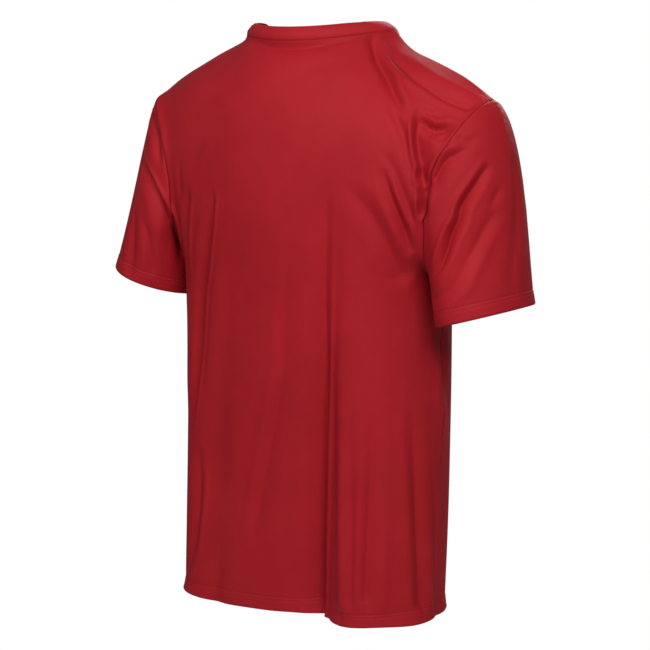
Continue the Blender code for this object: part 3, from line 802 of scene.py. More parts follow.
# %% Creases round the right shoulder
SHOULDER_CREASES = table(
    SEEN_COLUMNS,
    ("back_panel", ((371, 36), (374, 46), (379, 60), (386, 76), (393, 91), (399, 104), (403, 117)),
     (3.0, 6.0, 8.0, 8.6, 8.0, 6.0, 0), 5, 6, 1.4, ""),
    ("back_panel", ((384, 51), (400, 65), (415, 77), (430, 87), (445, 95), (458, 102), (469, 107)),
     (0, 4.4, 7.4, 9.4, 10.4, 10.4, 7.0), 10, 5.5, 1.35, ""),
    ("back_panel", ((383, 92), (392, 108), (400, 126), (405, 142), (410, 158), (416, 180), (420, 195)),
     (0, 3.0, 4.0, 4.0, 3.4, 2.4, 0), 4, 5, 1.5, ""),
    ("back_panel", ((410, 111), (420, 110), (431, 113), (440, 118)),
     (0, 2.8, 2.8, 0), 3.5, 3.5, 1.8, ""),
    ("back_panel", ((419, 118), (427, 124), (435, 128), (444, 129), (450, 127)),
     (4.0, 10.0, 12.0, 10.0, 5.0), 4, 5, 1.3, "armhole_right"),
    ("back_panel", ((424, 133), (433, 135), (442, 137), (448, 134)),
     (2.0, 4.4, 4.6, 2.0), 3.5, 3.5, 1.4, "armhole_right"),
    ("back_panel", ((417, 116), (417, 126), (417, 138), (418, 152), (420, 166), (421, 178)),
     (3.0, 10.0, 12.0, 12.0, 11.0, 9.0), 10, 3.6, 1.25, ""),
    ("back_panel", ((421, 172), (422, 182), (423, 195), (424, 206), (425, 213)),
     (4.0, 8.0, 10.0, 10.0, 5.0), 5, 4, 1.5, "armhole_right"),
    ("back_panel", ((382, 166), (385, 180), (391, 196), (397, 213), (404, 231), (410, 248)),
     (0, 4.4, 7.0, 8.6, 8.6, 3.0), 4, 6, 1.3, ""),
    ("back_panel", ((382, 150), (391, 165), (398, 182), (404, 198), (411, 214), (416, 226)),
     (0, 2.0, 2.8, 2.8, 2.0, 0), 5, 5, 1.8, ""),
    ("back_panel", ((345, 182), (358, 197), (369, 212), (380, 232), (390, 254), (400, 274)),
     (0, 2.4, 3.8, 4.6, 5.2, 3.6), 9, 10, 1.7, ""),
    ("back_panel", ((405, 170), (411, 190), (416, 212), (419, 235)),
     (0, -1.6, -2.2, 0), 5, 5, 2.0, ""),
    ("back_panel", ((330, 90), (342, 130), (350, 165)),
     (0, 1.4, 0), 16, 16, 2.0, ""),
    ("back_panel", ((300, 60), (322, 66), (346, 60)),
     (0, 1.2, 0), 10, 12, 2.0, ""),
)
print("creases round the right shoulder:", len(SHOULDER_CREASES))

# %% [markdown]
# The sleeves have a few long creases that run slantwise up from the underarm, where the arm
# hangs, and a flat fold down the outside, where a pressed sleeve was folded.

# %% Creases of the sleeves
SLEEVE_CREASES = table(
    SEEN_COLUMNS,
    # the near sleeve
    ("sleeve_right", ((492, 163), (486, 172), (478, 183), (469, 195), (463, 207), (458, 220),
     (452, 235), (446, 250), (439, 265), (433, 277)),
     (0, 4.4, 6.8, 9.0, 10.4, 11.4, 12.0, 11.0, 7.0, 1.0), 5.2, 4.6, 1.3, "armhole_right"),
    ("sleeve_right", ((501, 206), (492, 220), (483, 233), (474, 249), (466, 265), (458, 280),
     (447, 293), (436, 300)),
     (0, 2.4, 3.2, 3.6, 3.6, 3.4, 3.0, 1.5), 7, 8, 1.6, ""),
    ("sleeve_right", ((503, 183), (496, 196), (488, 211)),
     (0, 2.0, 0), 5, 5, 1.8, ""),
    ("sleeve_right", ((428, 183), (433, 177), (439, 167), (446, 159), (455, 154), (464, 150),
     (474, 148)),
     (6.0, 8.0, 8.0, 7.0, 5.2, 3.2, 0), 4.5, 10, 1.4, "armhole_right"),
    ("sleeve_right", ((508, 140), (513, 165), (516, 190), (517, 215), (516, 240), (513, 265),
     (511, 285)),
     (0, 1.4, 2.0, 2.4, 2.4, 2.0, 1.0), 10, 10, 2.0, ""),
    ("sleeve_right", ((478, 215), (472, 245), (470, 275), (470, 300)),
     (0, -1.4, -1.6, 0), 14, 14, 2.0, ""),
    ("sleeve_right", ((452, 138), (466, 141), (480, 140)),
     (1.5, 2.2, 0), 4, 5, 1.8, ""),
    # the far sleeve
    ("sleeve_left", ((143, 160), (147, 173), (152, 185), (158, 198), (165, 211), (172, 224),
     (178, 236), (184, 252)),
     (1.0, 5.0, 7.4, 8.8, 9.6, 10.0, 10.0, 9.0), 3.8, 9, 1.3, "armhole_left"),
    ("sleeve_left", ((152, 118), (155, 135), (158, 152), (162, 168)),
     (4.0, 6.0, 5.0, 0), 6, 7, 1.8, "armhole_left"),
    ("sleeve_left", ((143, 217), (147, 235), (150, 255), (152, 270)),
     (0, 2.6, 3.0, 2.0), 5, 5, 1.7, ""),
    ("sleeve_left", ((160, 230), (168, 245), (176, 260)),
     (0, 2.6, 0), 8, 8, 1.9, ""),
    ("sleeve_left", ((136, 205), (133, 230), (131, 255), (130, 270)),
     (0, 3.4, 4.2, 3.0), 7, 7, 2.0, ""),
)
print("creases of the sleeves, as seen:", len(SLEEVE_CREASES))

# %% [markdown]
# The fronts of the sleeves aren't in the picture, and get creases of the same kind. Their places
# are on the cloth itself, as (turn, down): turn goes from 0 at the shoulder, over 0.25 at the back
# and 0.5 at the underarm, to 0.75 in front, and down is measured from the armhole in millimetres.

# %% Creases of the sleeves' fronts
PLACED_COLUMNS = "on  places  depths  right  left  soft  crosses"
SLEEVE_FRONT_CREASES = table(
    PLACED_COLUMNS,
    ("sleeve_right", ((0.58, 48), (0.68, 68), (0.78, 84), (0.90, 92)), (2.5, 5.6, 5.0, 0), 9, 5, 1.4, ""),
    ("sleeve_right", ((0.62, 84), (0.74, 112), (0.86, 126)), (0, 3.4, 0), 9, 8, 1.7, ""),
    ("sleeve_right", ((0.72, 6), (0.79, 18), (0.86, 30)), (0, 4.0, 0), 6, 8, 1.5, ""),
    ("sleeve_left", ((0.60, 46), (0.70, 64), (0.80, 76), (0.92, 84)), (2.5, 5.2, 4.6, 0), 9, 5, 1.4, ""),
    ("sleeve_left", ((0.64, 84), (0.76, 110), (0.88, 120)), (0, 3.2, 0), 9, 8, 1.7, ""),
)
print("creases of the sleeves' fronts:", len(SLEEVE_FRONT_CREASES))

# %% [markdown]
# The front isn't in the picture. It gets the same kinds of crease: long soft valleys to the hem,
# two fans at the armholes, and slack cloth under the neckline. They are placed a little unevenly,
# as they would hang, so the front doesn't look like a mirror image. A place on a panel is
# (across, height) in millimetres, with plus across towards the wearer's left. All of them looked
# too soft as first drawn, so one factor makes them deeper together.

# %% Creases of the front
FRONT_CREASES = table(
    PLACED_COLUMNS,
    ("front_panel", ((80, -230), (72, -360), (64, -500), (58, -640), (56, -800)),
     (0, 1.8, 3.0, 4.5, 5.5), 14, 9, 1.5, ""),
    ("front_panel", ((98, -330), (100, -480), (102, -800)), (0, -1.6, -2.0), 10, 14, 2.0, ""),
    ("front_panel", ((-104, -270), (-96, -400), (-88, -560), (-82, -800)),
     (0, 2.0, 3.2, 4.4), 9, 14, 1.6, ""),
    ("front_panel", ((-130, -360), (-132, -520), (-134, -800)), (0, -1.4, -1.8), 16, 14, 2.0, ""),
    ("front_panel", ((10, -300), (4, -430), (-6, -560), (-20, -650)),
     (0, 2.2, 2.8, 0), 14, 16, 1.8, ""),
    ("front_panel", ((150, -440), (156, -580), (162, -740)), (0, 2.4, 2.8), 14, 12, 1.9, ""),
    ("front_panel", ((-176, -420), (-184, -570), (-190, -800)), (0, 2.4, 2.6), 14, 14, 2.0, ""),
    ("front_panel", ((206, -400), (214, -540), (222, -800)), (0, 2.2, 2.6), 14, 14, 2.0, ""),
    ("front_panel", ((-256, -520), (-262, -640), (-266, -800)),
     (0, 2.6, 2.4), 12, 12, 1.9, "side_right"),
    ("front_panel", ((252, -470), (258, -600), (262, -800)), (0, 2.6, 2.4), 12, 12, 1.9, "side_left"),
    # the fans at the armholes
    ("front_panel", ((118, -120), (150, -150), (182, -186), (214, -214), (240, -226)),
     (0, 2.6, 4.2, 4.0, 0), 9, 8, 1.5, ""),
    ("front_panel", ((128, -176), (160, -206), (192, -240), (222, -262), (246, -272)),
     (0, 2.4, 3.8, 3.6, 0), 9, 9, 1.6, ""),
    ("front_panel", ((150, -230), (184, -262), (216, -290), (238, -318)),
     (0, 2.4, 3.0, 0), 10, 10, 1.7, ""),
    ("front_panel", ((206, -120), (226, -140), (246, -168), (256, -196)),
     (0, 3.4, 4.4, 2.4), 7, 7, 1.5, ""),
    ("front_panel", ((-112, -128), (-148, -156), (-184, -190), (-212, -222), (-238, -240)),
     (0, 2.8, 4.4, 4.0, 0), 8, 9, 1.5, ""),
    ("front_panel", ((-130, -190), (-166, -220), (-196, -256), (-226, -284)),
     (0, 2.8, 3.8, 0), 9, 9, 1.6, ""),
    ("front_panel", ((-170, -260), (-200, -290), (-226, -326)), (0, 2.6, 0), 10, 10, 1.8, ""),
    ("front_panel", ((-196, -104), (-222, -130), (-244, -160), (-256, -196)),
     (0, 3.6, 4.8, 2.4), 7, 7, 1.5, ""),
    # slack cloth between the collar and the shoulders
    ("front_panel", ((112, -40), (132, -70), (148, -104)), (0, 2.4, 0), 10, 9, 1.7, ""),
    ("front_panel", ((-112, -36), (-138, -68), (-156, -108)), (0, 2.8, 0), 9, 10, 1.7, ""),
    ("front_panel", ((64, -112), (20, -128), (-30, -126)), (0, 1.6, 0), 14, 14, 2.0, ""),
)
FRONT_DEEPER = 1.45
for crease in FRONT_CREASES:
    crease["depths"] = [depth * FRONT_DEEPER for depth in crease["depths"]]
print("creases of the front:", len(FRONT_CREASES))

# %% [markdown]
# ## From the picture to the cloth
#
# A point shows in the picture where the line from it to the camera crosses the frame. That gives
# a pixel for every point of every piece. The other way round, the point that shows at a pixel is
# the one whose own pixel is nearest, among those that face the camera.

# %% Find the cloth behind a pixel
camera_right = Vector((0, 0, 1)).cross(backwards).normalized()
camera_axes = np.array([camera_right, backwards.cross(camera_right), backwards])
camera_place = np.array(camera.location)


def in_picture(points):
    """Where points show in the picture, in pixels across and down."""
    right, up, back = np.moveaxis((points - camera_place) @ camera_axes.T, -1, 0)
    scale = FOCAL_LENGTH / SENSOR_WIDTH * PICTURE_SIZE / -back
    across = PICTURE_SIZE * (0.5 - SIDE_SHIFT) + right * scale
    return np.stack([across, PICTURE_SIZE * 0.5 - up * scale], axis=-1)


def at_pixel(name, pixel):
    """The row and column of the point of a piece that shows nearest to a pixel."""
    away = np.sum((cloth[name]["in_picture"] - pixel) ** 2, axis=2)
    return np.unravel_index(np.argmin(away), away.shape)


for piece in cloth.values():
    faces_camera = np.sum(piece["normals"] * (camera_place - piece["points"]), axis=2, keepdims=True) > 0
    piece["in_picture"] = np.where(faces_camera, in_picture(piece["points"]), np.inf)
print("the origin shows at pixel", np.round(in_picture(np.zeros(3))))

# %% [markdown]
# ## A crease's line
#
# The line runs through its places as a smooth curve. It is drawn in space and not in rows and
# columns, because the grid's lines bend sharply at the underarm and a crease shouldn't.

# %% Lay a crease's line on the cloth
def at_place(name, place):
    """The row and column, with fractions, of a place on a piece."""
    piece = cloth[name]
    if name.startswith("sleeve"):
        turn, down = place[0], place[1] / 1000
        half = len(UPPER_SHARES) - 1
        if turn <= 0.5:
            column = half - np.interp(turn * 2, UPPER_SHARES, np.arange(half + 1))
        else:
            column = half + np.interp((1 - turn) * 2, UPPER_SHARES, np.arange(half + 1))
        lines = piece["points"][:, int(round(column))]
        steps = np.concatenate([[0.0], np.cumsum(np.linalg.norm(np.diff(lines, axis=0), axis=1))])
        return np.array([np.interp(down, steps, np.arange(len(steps))), column])
    across, height = place[0] / 1000, place[1] / 1000
    column = np.interp(-across, -across_line, np.arange(len(across_line)))
    heights = -piece["height"][:, int(round(column))]
    row = np.interp(-height, heights, np.arange(len(heights)))
    return np.array([row, column])


def curved(values, steps=8):
    """A smooth line through values given at even places, with this many steps between them."""
    values = np.asarray(values, float)
    ends = np.concatenate([[2 * values[0] - values[1]], values, [2 * values[-1] - values[-2]]])
    t = np.linspace(0, 1, steps, endpoint=False)
    t = t[:, None] if values.ndim > 1 else t
    parts = []
    for a, b, c, d in zip(ends, ends[1:], ends[2:], ends[3:]):
        parts.append(b + 0.5 * t * (c - a + t * (2 * a - 5 * b + 4 * c - d + t * (3 * (b - c) + d - a))))
    return np.concatenate(parts + [values[-1:]])


def on_grid(grid, places):
    """Points of a grid at rows and columns with fractions."""
    rows = np.clip(places[:, 0], 0, grid.shape[0] - 1.001)
    columns = np.clip(places[:, 1], 0, grid.shape[1] - 1.001)
    r, c = rows.astype(int), columns.astype(int)
    u, v = (rows - r)[:, None], (columns - c)[:, None]
    top = grid[r, c] * (1 - v) + grid[r, c + 1] * v
    return top * (1 - u) + (grid[r + 1, c] * (1 - v) + grid[r + 1, c + 1] * v) * u


def crease_line(crease):
    """The curve of a crease, through the points of the cloth at its places."""
    name = crease["on"]
    if "seen_at" in crease:
        places = [at_pixel(name, pixel) for pixel in crease["seen_at"]]
    else:
        places = [at_place(name, place) for place in crease["places"]]
    return curved(on_grid(cloth[name]["points"], np.array(places, float)))


print("points in the long valley's line:", len(crease_line(BACK_CREASES[0])))

# %% [markdown]
# ## Pressing the creases in
#
# Every point of the cloth near a line is moved in or out by an amount that depends only on its
# distance from the line. On the steeper side of an uneven crease the cloth rises further in a
# lip. Between two places the line may pass a little over or under the curved cloth, and that
# small height isn't counted as distance, or the crease would be shallower there.

# %% Press creases into the cloth
LIP_STEEP, LIP_GENTLE = 0.34, 0.14  # how much of its depth a crease gives back as ridges beside it
LIP_AWAY, LIP_SPREAD = 2.2, 0.9  # where those ridges stand and how broad they are, in crease widths
LINE_SLACK = 0.003  # how far a crease's line may pass over or under the cloth
CREASE_REACH = 4  # crease widths past which nothing moves
CREASE_HOLD = 0.010  # metres beside a seam in which a crease that doesn't cross it fades out


def press_crease(name, crease, depth):
    """Add one crease's depth to a piece's depths."""
    piece = cloth[name]
    line = crease_line(crease)
    depths = curved(crease["depths"]) / 1000
    widths = np.array([crease["right"], crease["left"]]) / 1000
    reach = widths.max() * CREASE_REACH
    points, normals = piece["points"], piece["normals"]
    near = np.all((points > line.min(axis=0) - reach) & (points < line.max(axis=0) + reach), axis=2)
    if not near.any():
        return
    spots, facing = points[near], normals[near]
    best = np.full(len(spots), 1e9)
    amount = np.zeros(len(spots))
    for a, b, start, end in zip(line, line[1:], depths, depths[1:]):
        run = b - a
        t = np.clip((spots - a) @ run / (run @ run), 0, 1)
        away = spots - a - t[:, None] * run
        height = np.sum(away * facing, axis=1)
        away = away - facing * np.clip(height, -LINE_SLACK, LINE_SLACK)[:, None]
        distance = np.linalg.norm(away, axis=1)
        rightwards = np.sum(away * np.cross(facing, run), axis=1) > 0
        width = np.where(rightwards, widths[0], widths[1])
        share = distance / width
        lip = np.where(width < widths.max(), LIP_STEEP, LIP_GENTLE)
        shape = np.exp(-(share ** crease["soft"]))
        shape -= lip * np.exp(-(((share - LIP_AWAY) / LIP_SPREAD) ** 2))
        closer = distance < best
        best[closer] = distance[closer]
        amount[closer] = ((start + (end - start) * t) * shape)[closer]
    hold = np.ones(len(spots))
    crossed = crease["crosses"].split()
    for seam, away in piece["seam_distance"].items():
        if seam not in crossed:
            hold *= ease(away[near] / CREASE_HOLD)
    depth[near] += amount * hold


creases = BACK_CREASES + SHOULDER_CREASES + SLEEVE_CREASES + SLEEVE_FRONT_CREASES + FRONT_CREASES
pressed = {name: np.zeros(piece["points"].shape[:2]) for name, piece in cloth.items()}
for crease in creases:
    for name in cloth:
        shared = set(crease["crosses"].split()) & set(SEAMS[name])
        if name == crease["on"] or shared:
            press_crease(name, crease, pressed[name])
for name, piece in cloth.items():
    piece["points"] = piece["points"] - piece["normals"] * pressed[name][:, :, None]
    lowest, highest = pressed[name].min() * 1000, pressed[name].max() * 1000
    print(f"{name}: creases from {lowest:.1f} to {highest:.1f} mm deep")
share_normals()

# %% [markdown]
# ## Seams and hems
#
# Sewing pulls cloth in along its line, so a seam is a narrow groove. The allowance behind it makes
# a low flat ridge on the side it is pressed to: the sleeve at an armhole, the back at a shoulder,
# and the body under the neckband. So narrow a groove hardly darkens by itself in soft light, so a
# thin line of a darker colour is painted along it, in place of the shadow that collects there. How
# dark it is follows the groove's depth, and is kept with each point until the cloth is coloured.

# %% Press in the seams
SEAM_DEPTHS = {"neck": 0.0005, "armhole": 0.0012, "shoulder": 0.0008, "side": 0.0006}
SEAM_WIDTH = 0.0017
ALLOWANCE_RISE, ALLOWANCE_WIDTH = 0.0002, 0.0068
ALLOWANCE_SLOPE = 0.0016
GROOVE_CLEAR = 0.0020  # metres from the seam in which the allowance's ridge rises
SHADE_WIDTH = 0.0010
SHADE_DEPTH = 0.0020  # a groove this deep would be painted in the full dark colour


def ridge(away):
    """The flat ridge of a seam's allowance, seen from the outside."""
    return -ALLOWANCE_RISE * ease((ALLOWANCE_WIDTH - away) / ALLOWANCE_SLOPE)


for name, piece in cloth.items():
    sewn = np.zeros(piece["points"].shape[:2])
    deepest = np.zeros_like(sewn)
    shade = np.zeros_like(sewn)
    for seam, away in piece["seam_distance"].items():
        depth = SEAM_DEPTHS[seam.split("_")[0]]
        deepest = np.maximum(deepest, depth * np.exp(-((away / SEAM_WIDTH) ** 2)))
        # painted shadow: a dark line along each seam, darker where its groove is deeper
        shade = np.maximum(shade, depth / SHADE_DEPTH * np.exp(-((away / SHADE_WIDTH) ** 2)))
        on_sleeve = name.startswith("sleeve")
        if on_sleeve or seam == "neck" or (name == "back_panel" and not seam.startswith("armhole")):
            sewn += ridge(away) * ease(away / GROOVE_CLEAR)
    if piece["closed"]:
        away = distance_to(piece["points"], piece["points"][:, 0])
        deepest = np.maximum(deepest, SEAM_DEPTHS["side"] * np.exp(-((away / SEAM_WIDTH) ** 2)))
    piece["points"] = piece["points"] - piece["normals"] * (sewn + deepest)[:, :, None]
    piece["shade"] = shade
    print(f"{name}: seams up to {deepest.max() * 1000:.1f} mm deep")

# %% [markdown]
# A hem is the cloth's edge, folded up inside and held by two rows of stitches. Both rows dent the
# outside a little, and between them and the fold the doubled cloth stands out. The fold itself is
# rounded over the last two rows of points. The turned-up part is six more rows on the inside.

# %% Fold up the hems
HEM_STITCHES = (0.0145, 0.0185)  # metres above the hem's edge
HEM_PUFF, PUFF_TOP, PUFF_SLOPE = 0.0006, 0.0190, 0.0020
STITCH_DENT, DENT_WIDTH = 0.0006, 0.0009
HEM_THICK = 0.0014
FOLD_ROUND = (0.10, 0.50)  # how far the last two rows lie in, as shares of the hem's thickness
TURNED_UP = (0.0008, 0.0035, 0.0080, 0.0125, 0.0160, 0.0195)

dents = sum(STITCH_DENT * np.exp(-(((HEM_STEPS - row) / DENT_WIDTH) ** 2)) for row in HEM_STITCHES)
hem_depth = dents - HEM_PUFF * ease((PUFF_TOP - HEM_STEPS) / PUFF_SLOPE)
hem_depth[-2:] = HEM_THICK * np.array(FOLD_ROUND)
share_normals()
for piece in cloth.values():
    outside, normals = piece["points"], piece["normals"]
    first = len(outside) - len(HEM_STEPS)
    inside = [first + int(np.argmin(abs(HEM_STEPS - step))) for step in TURNED_UP]
    turned = outside[inside] - normals[inside] * HEM_THICK
    turned[0] += normals[inside[0]] * HEM_THICK * FOLD_ROUND[0]
    outside[first:] -= normals[first:] * hem_depth[:, None, None]
    piece["points"] = np.concatenate([outside, turned])
    piece["flat"] = np.concatenate([piece["flat"], piece["flat"][inside]])
    piece["shade"] = np.concatenate([piece["shade"], piece["shade"][inside]])
print("rows with the turned-up hem:", len(cloth["back_panel"]["points"]))

# %% [markdown]
# ## Laying out the cloth
#
# Each piece starts as a flat grid, the way a cutter lays out cloth, and its points then move to
# their places on the form. The grid keeps where each point was on the flat cloth as a UV map, so
# that the knit follows the cloth's threads, and the darkness of the painted seam shadow as a
# number at each point. Solidify gives it the thickness of jersey. It grows inwards, so that the
# outside stays where it was drawn.

# %% Cloth as meshes
CLOTH_THICK = 0.0005
UV_PER_METRE = 10


def lay_out(name, points, flat, closed, sign, shade=None):
    """A sheet of cloth from a grid of places, with a UV map for its knit and a painted seam shadow."""
    rows, columns = points.shape[:2]
    mesh = bmesh.new()
    bmesh.ops.create_grid(mesh, x_segments=columns - 1, y_segments=rows - 1, size=1)
    mesh.verts.ensure_lookup_table()
    places = points.reshape(-1, 3)
    shadow = mesh.verts.layers.float.new("painted_seam_shadow")
    shades = np.zeros(len(places)) if shade is None else shade.ravel()
    for vert, place, dark in zip(mesh.verts, places, shades):
        vert.co = place
        vert[shadow] = dark
    spread = flat.reshape(-1, 2) * UV_PER_METRE
    layer = mesh.loops.layers.uv.new("cloth")
    for face in mesh.faces:
        for loop in face.loops:
            loop[layer].uv = spread[loop.vert.index]
        face.smooth = True
    if sign > 0:
        bmesh.ops.reverse_faces(mesh, faces=mesh.faces)
    if closed:
        bmesh.ops.remove_doubles(mesh, verts=mesh.verts, dist=1e-6)
    data = bpy.data.meshes.new(name)
    mesh.to_mesh(data)
    mesh.free()
    piece = bpy.data.objects.new(name, data)
    bpy.context.scene.collection.objects.link(piece)
    return piece


sheets = {}
for name, piece in cloth.items():
    sheet = lay_out(
        f"{name}_cloth", piece["points"], piece["flat"], piece["closed"], piece["sign"], piece["shade"]
    )
    wall = sheet.modifiers.new("thickness", "SOLIDIFY")
    wall.thickness = CLOTH_THICK
    wall.offset = -1
    sheets[name] = sheet
    print(f"{sheet.name}: {len(sheet.data.polygons)} faces")

# %% [markdown]
# ## The neckband
#
# The band is a strip of stretchier knit, folded along its middle and sewn to the neck by both of
# its raw edges. Its cross-section is a long flat loop, which is carried round the neck seam and
# leans inwards, as a band that is a little shorter than its seam does. The table lists the loop,
# from the seam up the outside, over the fold and down the inside.

# %% Neckband
BAND_BOW = 0.0022
BAND_LOOP = table(
    "share  stand",
    (0.00, -0.0004),
    (0.04, 0.0002),
    (0.12, 0.0006),
    (0.28, 0.0009),
    (0.50, 0.0008),
    (0.72, 0.0010),
    (0.88, 0.0008),
    (0.96, 0.0002),
    (1.00, -0.0007),
    (0.97, -0.0015),
    (0.88, -0.0019),
    (0.60, -0.0020),
    (0.30, -0.0020),
    (0.10, -0.0018),
    (0.02, -0.0012),
    (0.00, -0.0004),
)


def neck_ring():
    """The neck seam as a closed ring of points from the wearer's left, over the back."""
    neck = slice(HALF_COLUMNS - NECK_COLUMN, HALF_COLUMNS + NECK_COLUMN + 1)
    back, front = (cloth[name]["points"][0, neck] for name in ("back_panel", "front_panel"))
    ring = np.concatenate([back, front[::-1][1:]])
    ring[-1] = ring[0]
    return ring


def finer(ring, steps=3):
    """A closed ring with more points, along a smooth curve through its own."""
    around = np.concatenate([ring[-2:-1], ring, ring[1:2]])
    t = (np.arange(steps) / steps)[:, None]
    parts = []
    for a, b, c, d in zip(around, around[1:], around[2:], around[3:]):
        parts.append(b + 0.5 * t * (c - a + t * (2 * a - 5 * b + 4 * c - d + t * (3 * (b - c) + d - a))))
    return np.concatenate(parts + [ring[:1]])


ring = finer(neck_ring())
band_turns = np.linspace(0.0, 1.0, len(ring))
band_middle = np.array([0.0, (NECK_BACK - NECK_FRONT) / 2, 0.0])
inwards = (band_middle - ring) * (1, 1, 0)
inwards /= np.linalg.norm(inwards, axis=1, keepdims=True)
lean = inwards * smooth_along(BAND_LEANS, "inwards", band_turns, "turn")[:, None]
lean[:, 2] = smooth_along(BAND_LEANS, "up", band_turns, "turn")
forwards = np.gradient(np.concatenate([ring[-2:-1], ring, ring[1:2]]), axis=0)[1:-1]
facing = np.cross(lean, forwards)
facing /= np.linalg.norm(facing, axis=1, keepdims=True)
if facing[len(facing) // 4] @ (0, 1, 0) < 0:
    facing = -facing
loops = []
for row in BAND_LOOP:
    bow = BAND_BOW * math.sin(math.pi * row["share"])
    loops.append(ring + lean * row["share"] - inwards * bow + facing * row["stand"])
band_points = np.array(loops)
band_length = np.concatenate([[0.0], np.cumsum(np.linalg.norm(np.diff(ring, axis=0), axis=1))])
band_flat = np.stack(
    [np.broadcast_to(band_length, band_points.shape[:2]), thread_lengths(band_points)], axis=2
)
band = lay_out("neckband_cloth", band_points, band_flat, True, -1)
print(f"neckband: {band_length[-1]:.3f} m round, {len(band.data.polygons)} faces")

# %% [markdown]
# ## Stitches
#
# A twin needle leaves two rows of short straight stitches on the outside of every hem, and one
# more pair holds the allowance down under the neckband. Each stitch is a thin grain of thread that
# sinks a little into the cloth. The rows are found on the finished cloth, so that they follow its
# folds. Stitches number in the hundreds, so each is an icosahedron, stretched to a grain, with
# only twenty faces.

# %% Stitch rows
STITCH_STEP = 0.0033
STITCH_LENGTH, STITCH_WIDTH = 0.0027, 0.00055
NECK_STITCHES = (0.0055, 0.0070)


def hem_row(name, step):
    """The row of a piece's hem at this distance from its edge, as points and directions."""
    piece = cloth[name]
    row = len(piece["normals"]) - len(HEM_STEPS) + int(np.argmin(abs(HEM_STEPS - step)))
    return np.concatenate([piece["points"][row], piece["normals"][row]], axis=1)


def neck_row(name, away):
    """A line on a panel at this distance from its neck seam."""
    piece = cloth[name]
    distance = piece["seam_distance"]["neck"]
    line = []
    for column in np.flatnonzero(distance[0] < away):
        row = int(np.argmax(distance[:, column] >= away))
        before, after = distance[row - 1, column], distance[row, column]
        t = (away - before) / (after - before)
        above, below = (
            np.append(piece["points"][r, column], piece["normals"][r, column]) for r in (row - 1, row)
        )
        line.append(above * (1 - t) + below * t)
    return np.array(line)


def stitch_along(name, lines):
    """One piece with a stitch at every step of each line."""
    mesh = bmesh.new()
    for line in lines:
        steps = np.linalg.norm(np.diff(line[:, :3], axis=0), axis=1)
        along = np.concatenate([[0.0], np.cumsum(steps)])
        count = int(along[-1] / STITCH_STEP)
        for k in range(count):
            at = (k + 0.5) * along[-1] / count
            start, end = (
                np.array([np.interp(at + shift, along, line[:, axis]) for axis in range(6)])
                for shift in (-STITCH_LENGTH / 2, STITCH_LENGTH / 2)
            )
            run, out = Vector((end - start)[:3]).normalized(), Vector(start[3:]).normalized()
            turn = Matrix((run, out.cross(run).normalized(), out)).transposed().to_4x4()
            size = Matrix.Diagonal((STITCH_LENGTH / 2, STITCH_WIDTH / 2, STITCH_WIDTH / 2, 1))
            place = Matrix.Translation(Vector((start + end)[:3]) / 2)
            bmesh.ops.create_icosphere(mesh, subdivisions=1, radius=1, matrix=place @ turn @ size)
    for face in mesh.faces:
        face.smooth = True
    data = bpy.data.meshes.new(name)
    mesh.to_mesh(data)
    mesh.free()
    piece = bpy.data.objects.new(name, data)
    bpy.context.scene.collection.objects.link(piece)
    print(f"{name}: {len(data.polygons) // 20} stitches")
    return piece


STITCHED_HEMS = {
    "back_panel": "hem_stitches_back",
    "front_panel": "hem_stitches_front",
    "sleeve_left": "cuff_stitches_left",
    "sleeve_right": "cuff_stitches_right",
}
stitches = {
    name: stitch_along(title, [hem_row(name, step) for step in HEM_STITCHES])
    for name, title in STITCHED_HEMS.items()
}
neck_rows = [neck_row(name, away) for name in ("back_panel", "front_panel") for away in NECK_STITCHES]
stitches["neckband"] = stitch_along("neck_stitches", neck_rows)

# %% [markdown]
# ## Nodes
#
# Two helpers are enough for every finish. One turns a colour as it is written for a screen into
# the linear numbers that a shader works with. The other adds a node, sets it and links it.

# %% Colour and node helpers
def linear(code):
    """The linear colour of an sRGB code such as A6212C."""
    channels = [int(code[k : k + 2], 16) / 255 for k in (0, 2, 4)]
    return (*[c / 12.92 if c <= 0.04045 else ((c + 0.055) / 1.055) ** 2.4 for c in channels], 1.0)


def add_node(tree, kind, inputs=None, **settings):
    """A new node with its settings, and its inputs set to values or linked to other nodes."""
    node = tree.nodes.new(f"ShaderNode{kind}")
    for name, value in settings.items():
        setattr(node, name, value)
    for name, value in (inputs or {}).items():
        if isinstance(value, bpy.types.NodeSocket):
            tree.links.new(value, node.inputs[name])
        else:
            node.inputs[name].default_value = value
    return node


def new_finish(name):
    """An empty material, with its node tree and its shader."""
    finish = bpy.data.materials.new(name)
    finish.use_nodes = True
    tree = finish.node_tree
    return finish, tree, tree.nodes["Principled BSDF"]


print("the red A6212C is", [round(channel, 3) for channel in linear("A6212C")], "in linear numbers")

# %% [markdown]
# ## The jersey
#
# The cloth is polyester jersey, dyed red and knitted on a fine machine. Its face shows upright
# columns of small V-shaped loops, the wales, about 0.7 mm apart. Such thread is smooth, so the
# cloth has a faint satin sheen on top of its matt colour. The loops are drawn twice as coarse as
# they are, because the real ones are finer than a pixel. A triangle wave across each wale tilts
# the rows into legs, and a sine along the wale repeats the loops. The grooves between the loops
# get a painted shade, a deeper red where shade falls between them. Dye and light crumples vary
# slowly over the whole garment, so they read its place in space and run over the seams. The
# painted shadow of the seams is mixed in last.

# %% Knit and jersey
WALE, COURSE = 0.0015, 0.0012  # metres from one column or row of loops to the next
# the deeper red serves both the dye's patches and the painted shade between the loops
JERSEY_COLOUR, JERSEY_DEEP = "AD1D27", "A01922"
# the dark red of the painted shadow along the seams, in place of the shade in their grooves
PAINTED_SEAM_SHADOW = "520C12"
DYE_PATCHES = 9.0  # in a metre, so one is about 110 mm wide
CRUMPLES = 60.0  # in a metre, so one is about 17 mm wide
CRUMPLE_DEPTH = 0.0012
DYE_FAINT, DYE_FULL = 0.3, 0.7  # the part of the noise between which the colour deepens
GROOVE_PAINTED_SHADE = 0.35  # painted shade: how much deeper the colour is made between the loops, where shade falls
SMOOTHEST, ROUGHEST = 0.52, 0.64


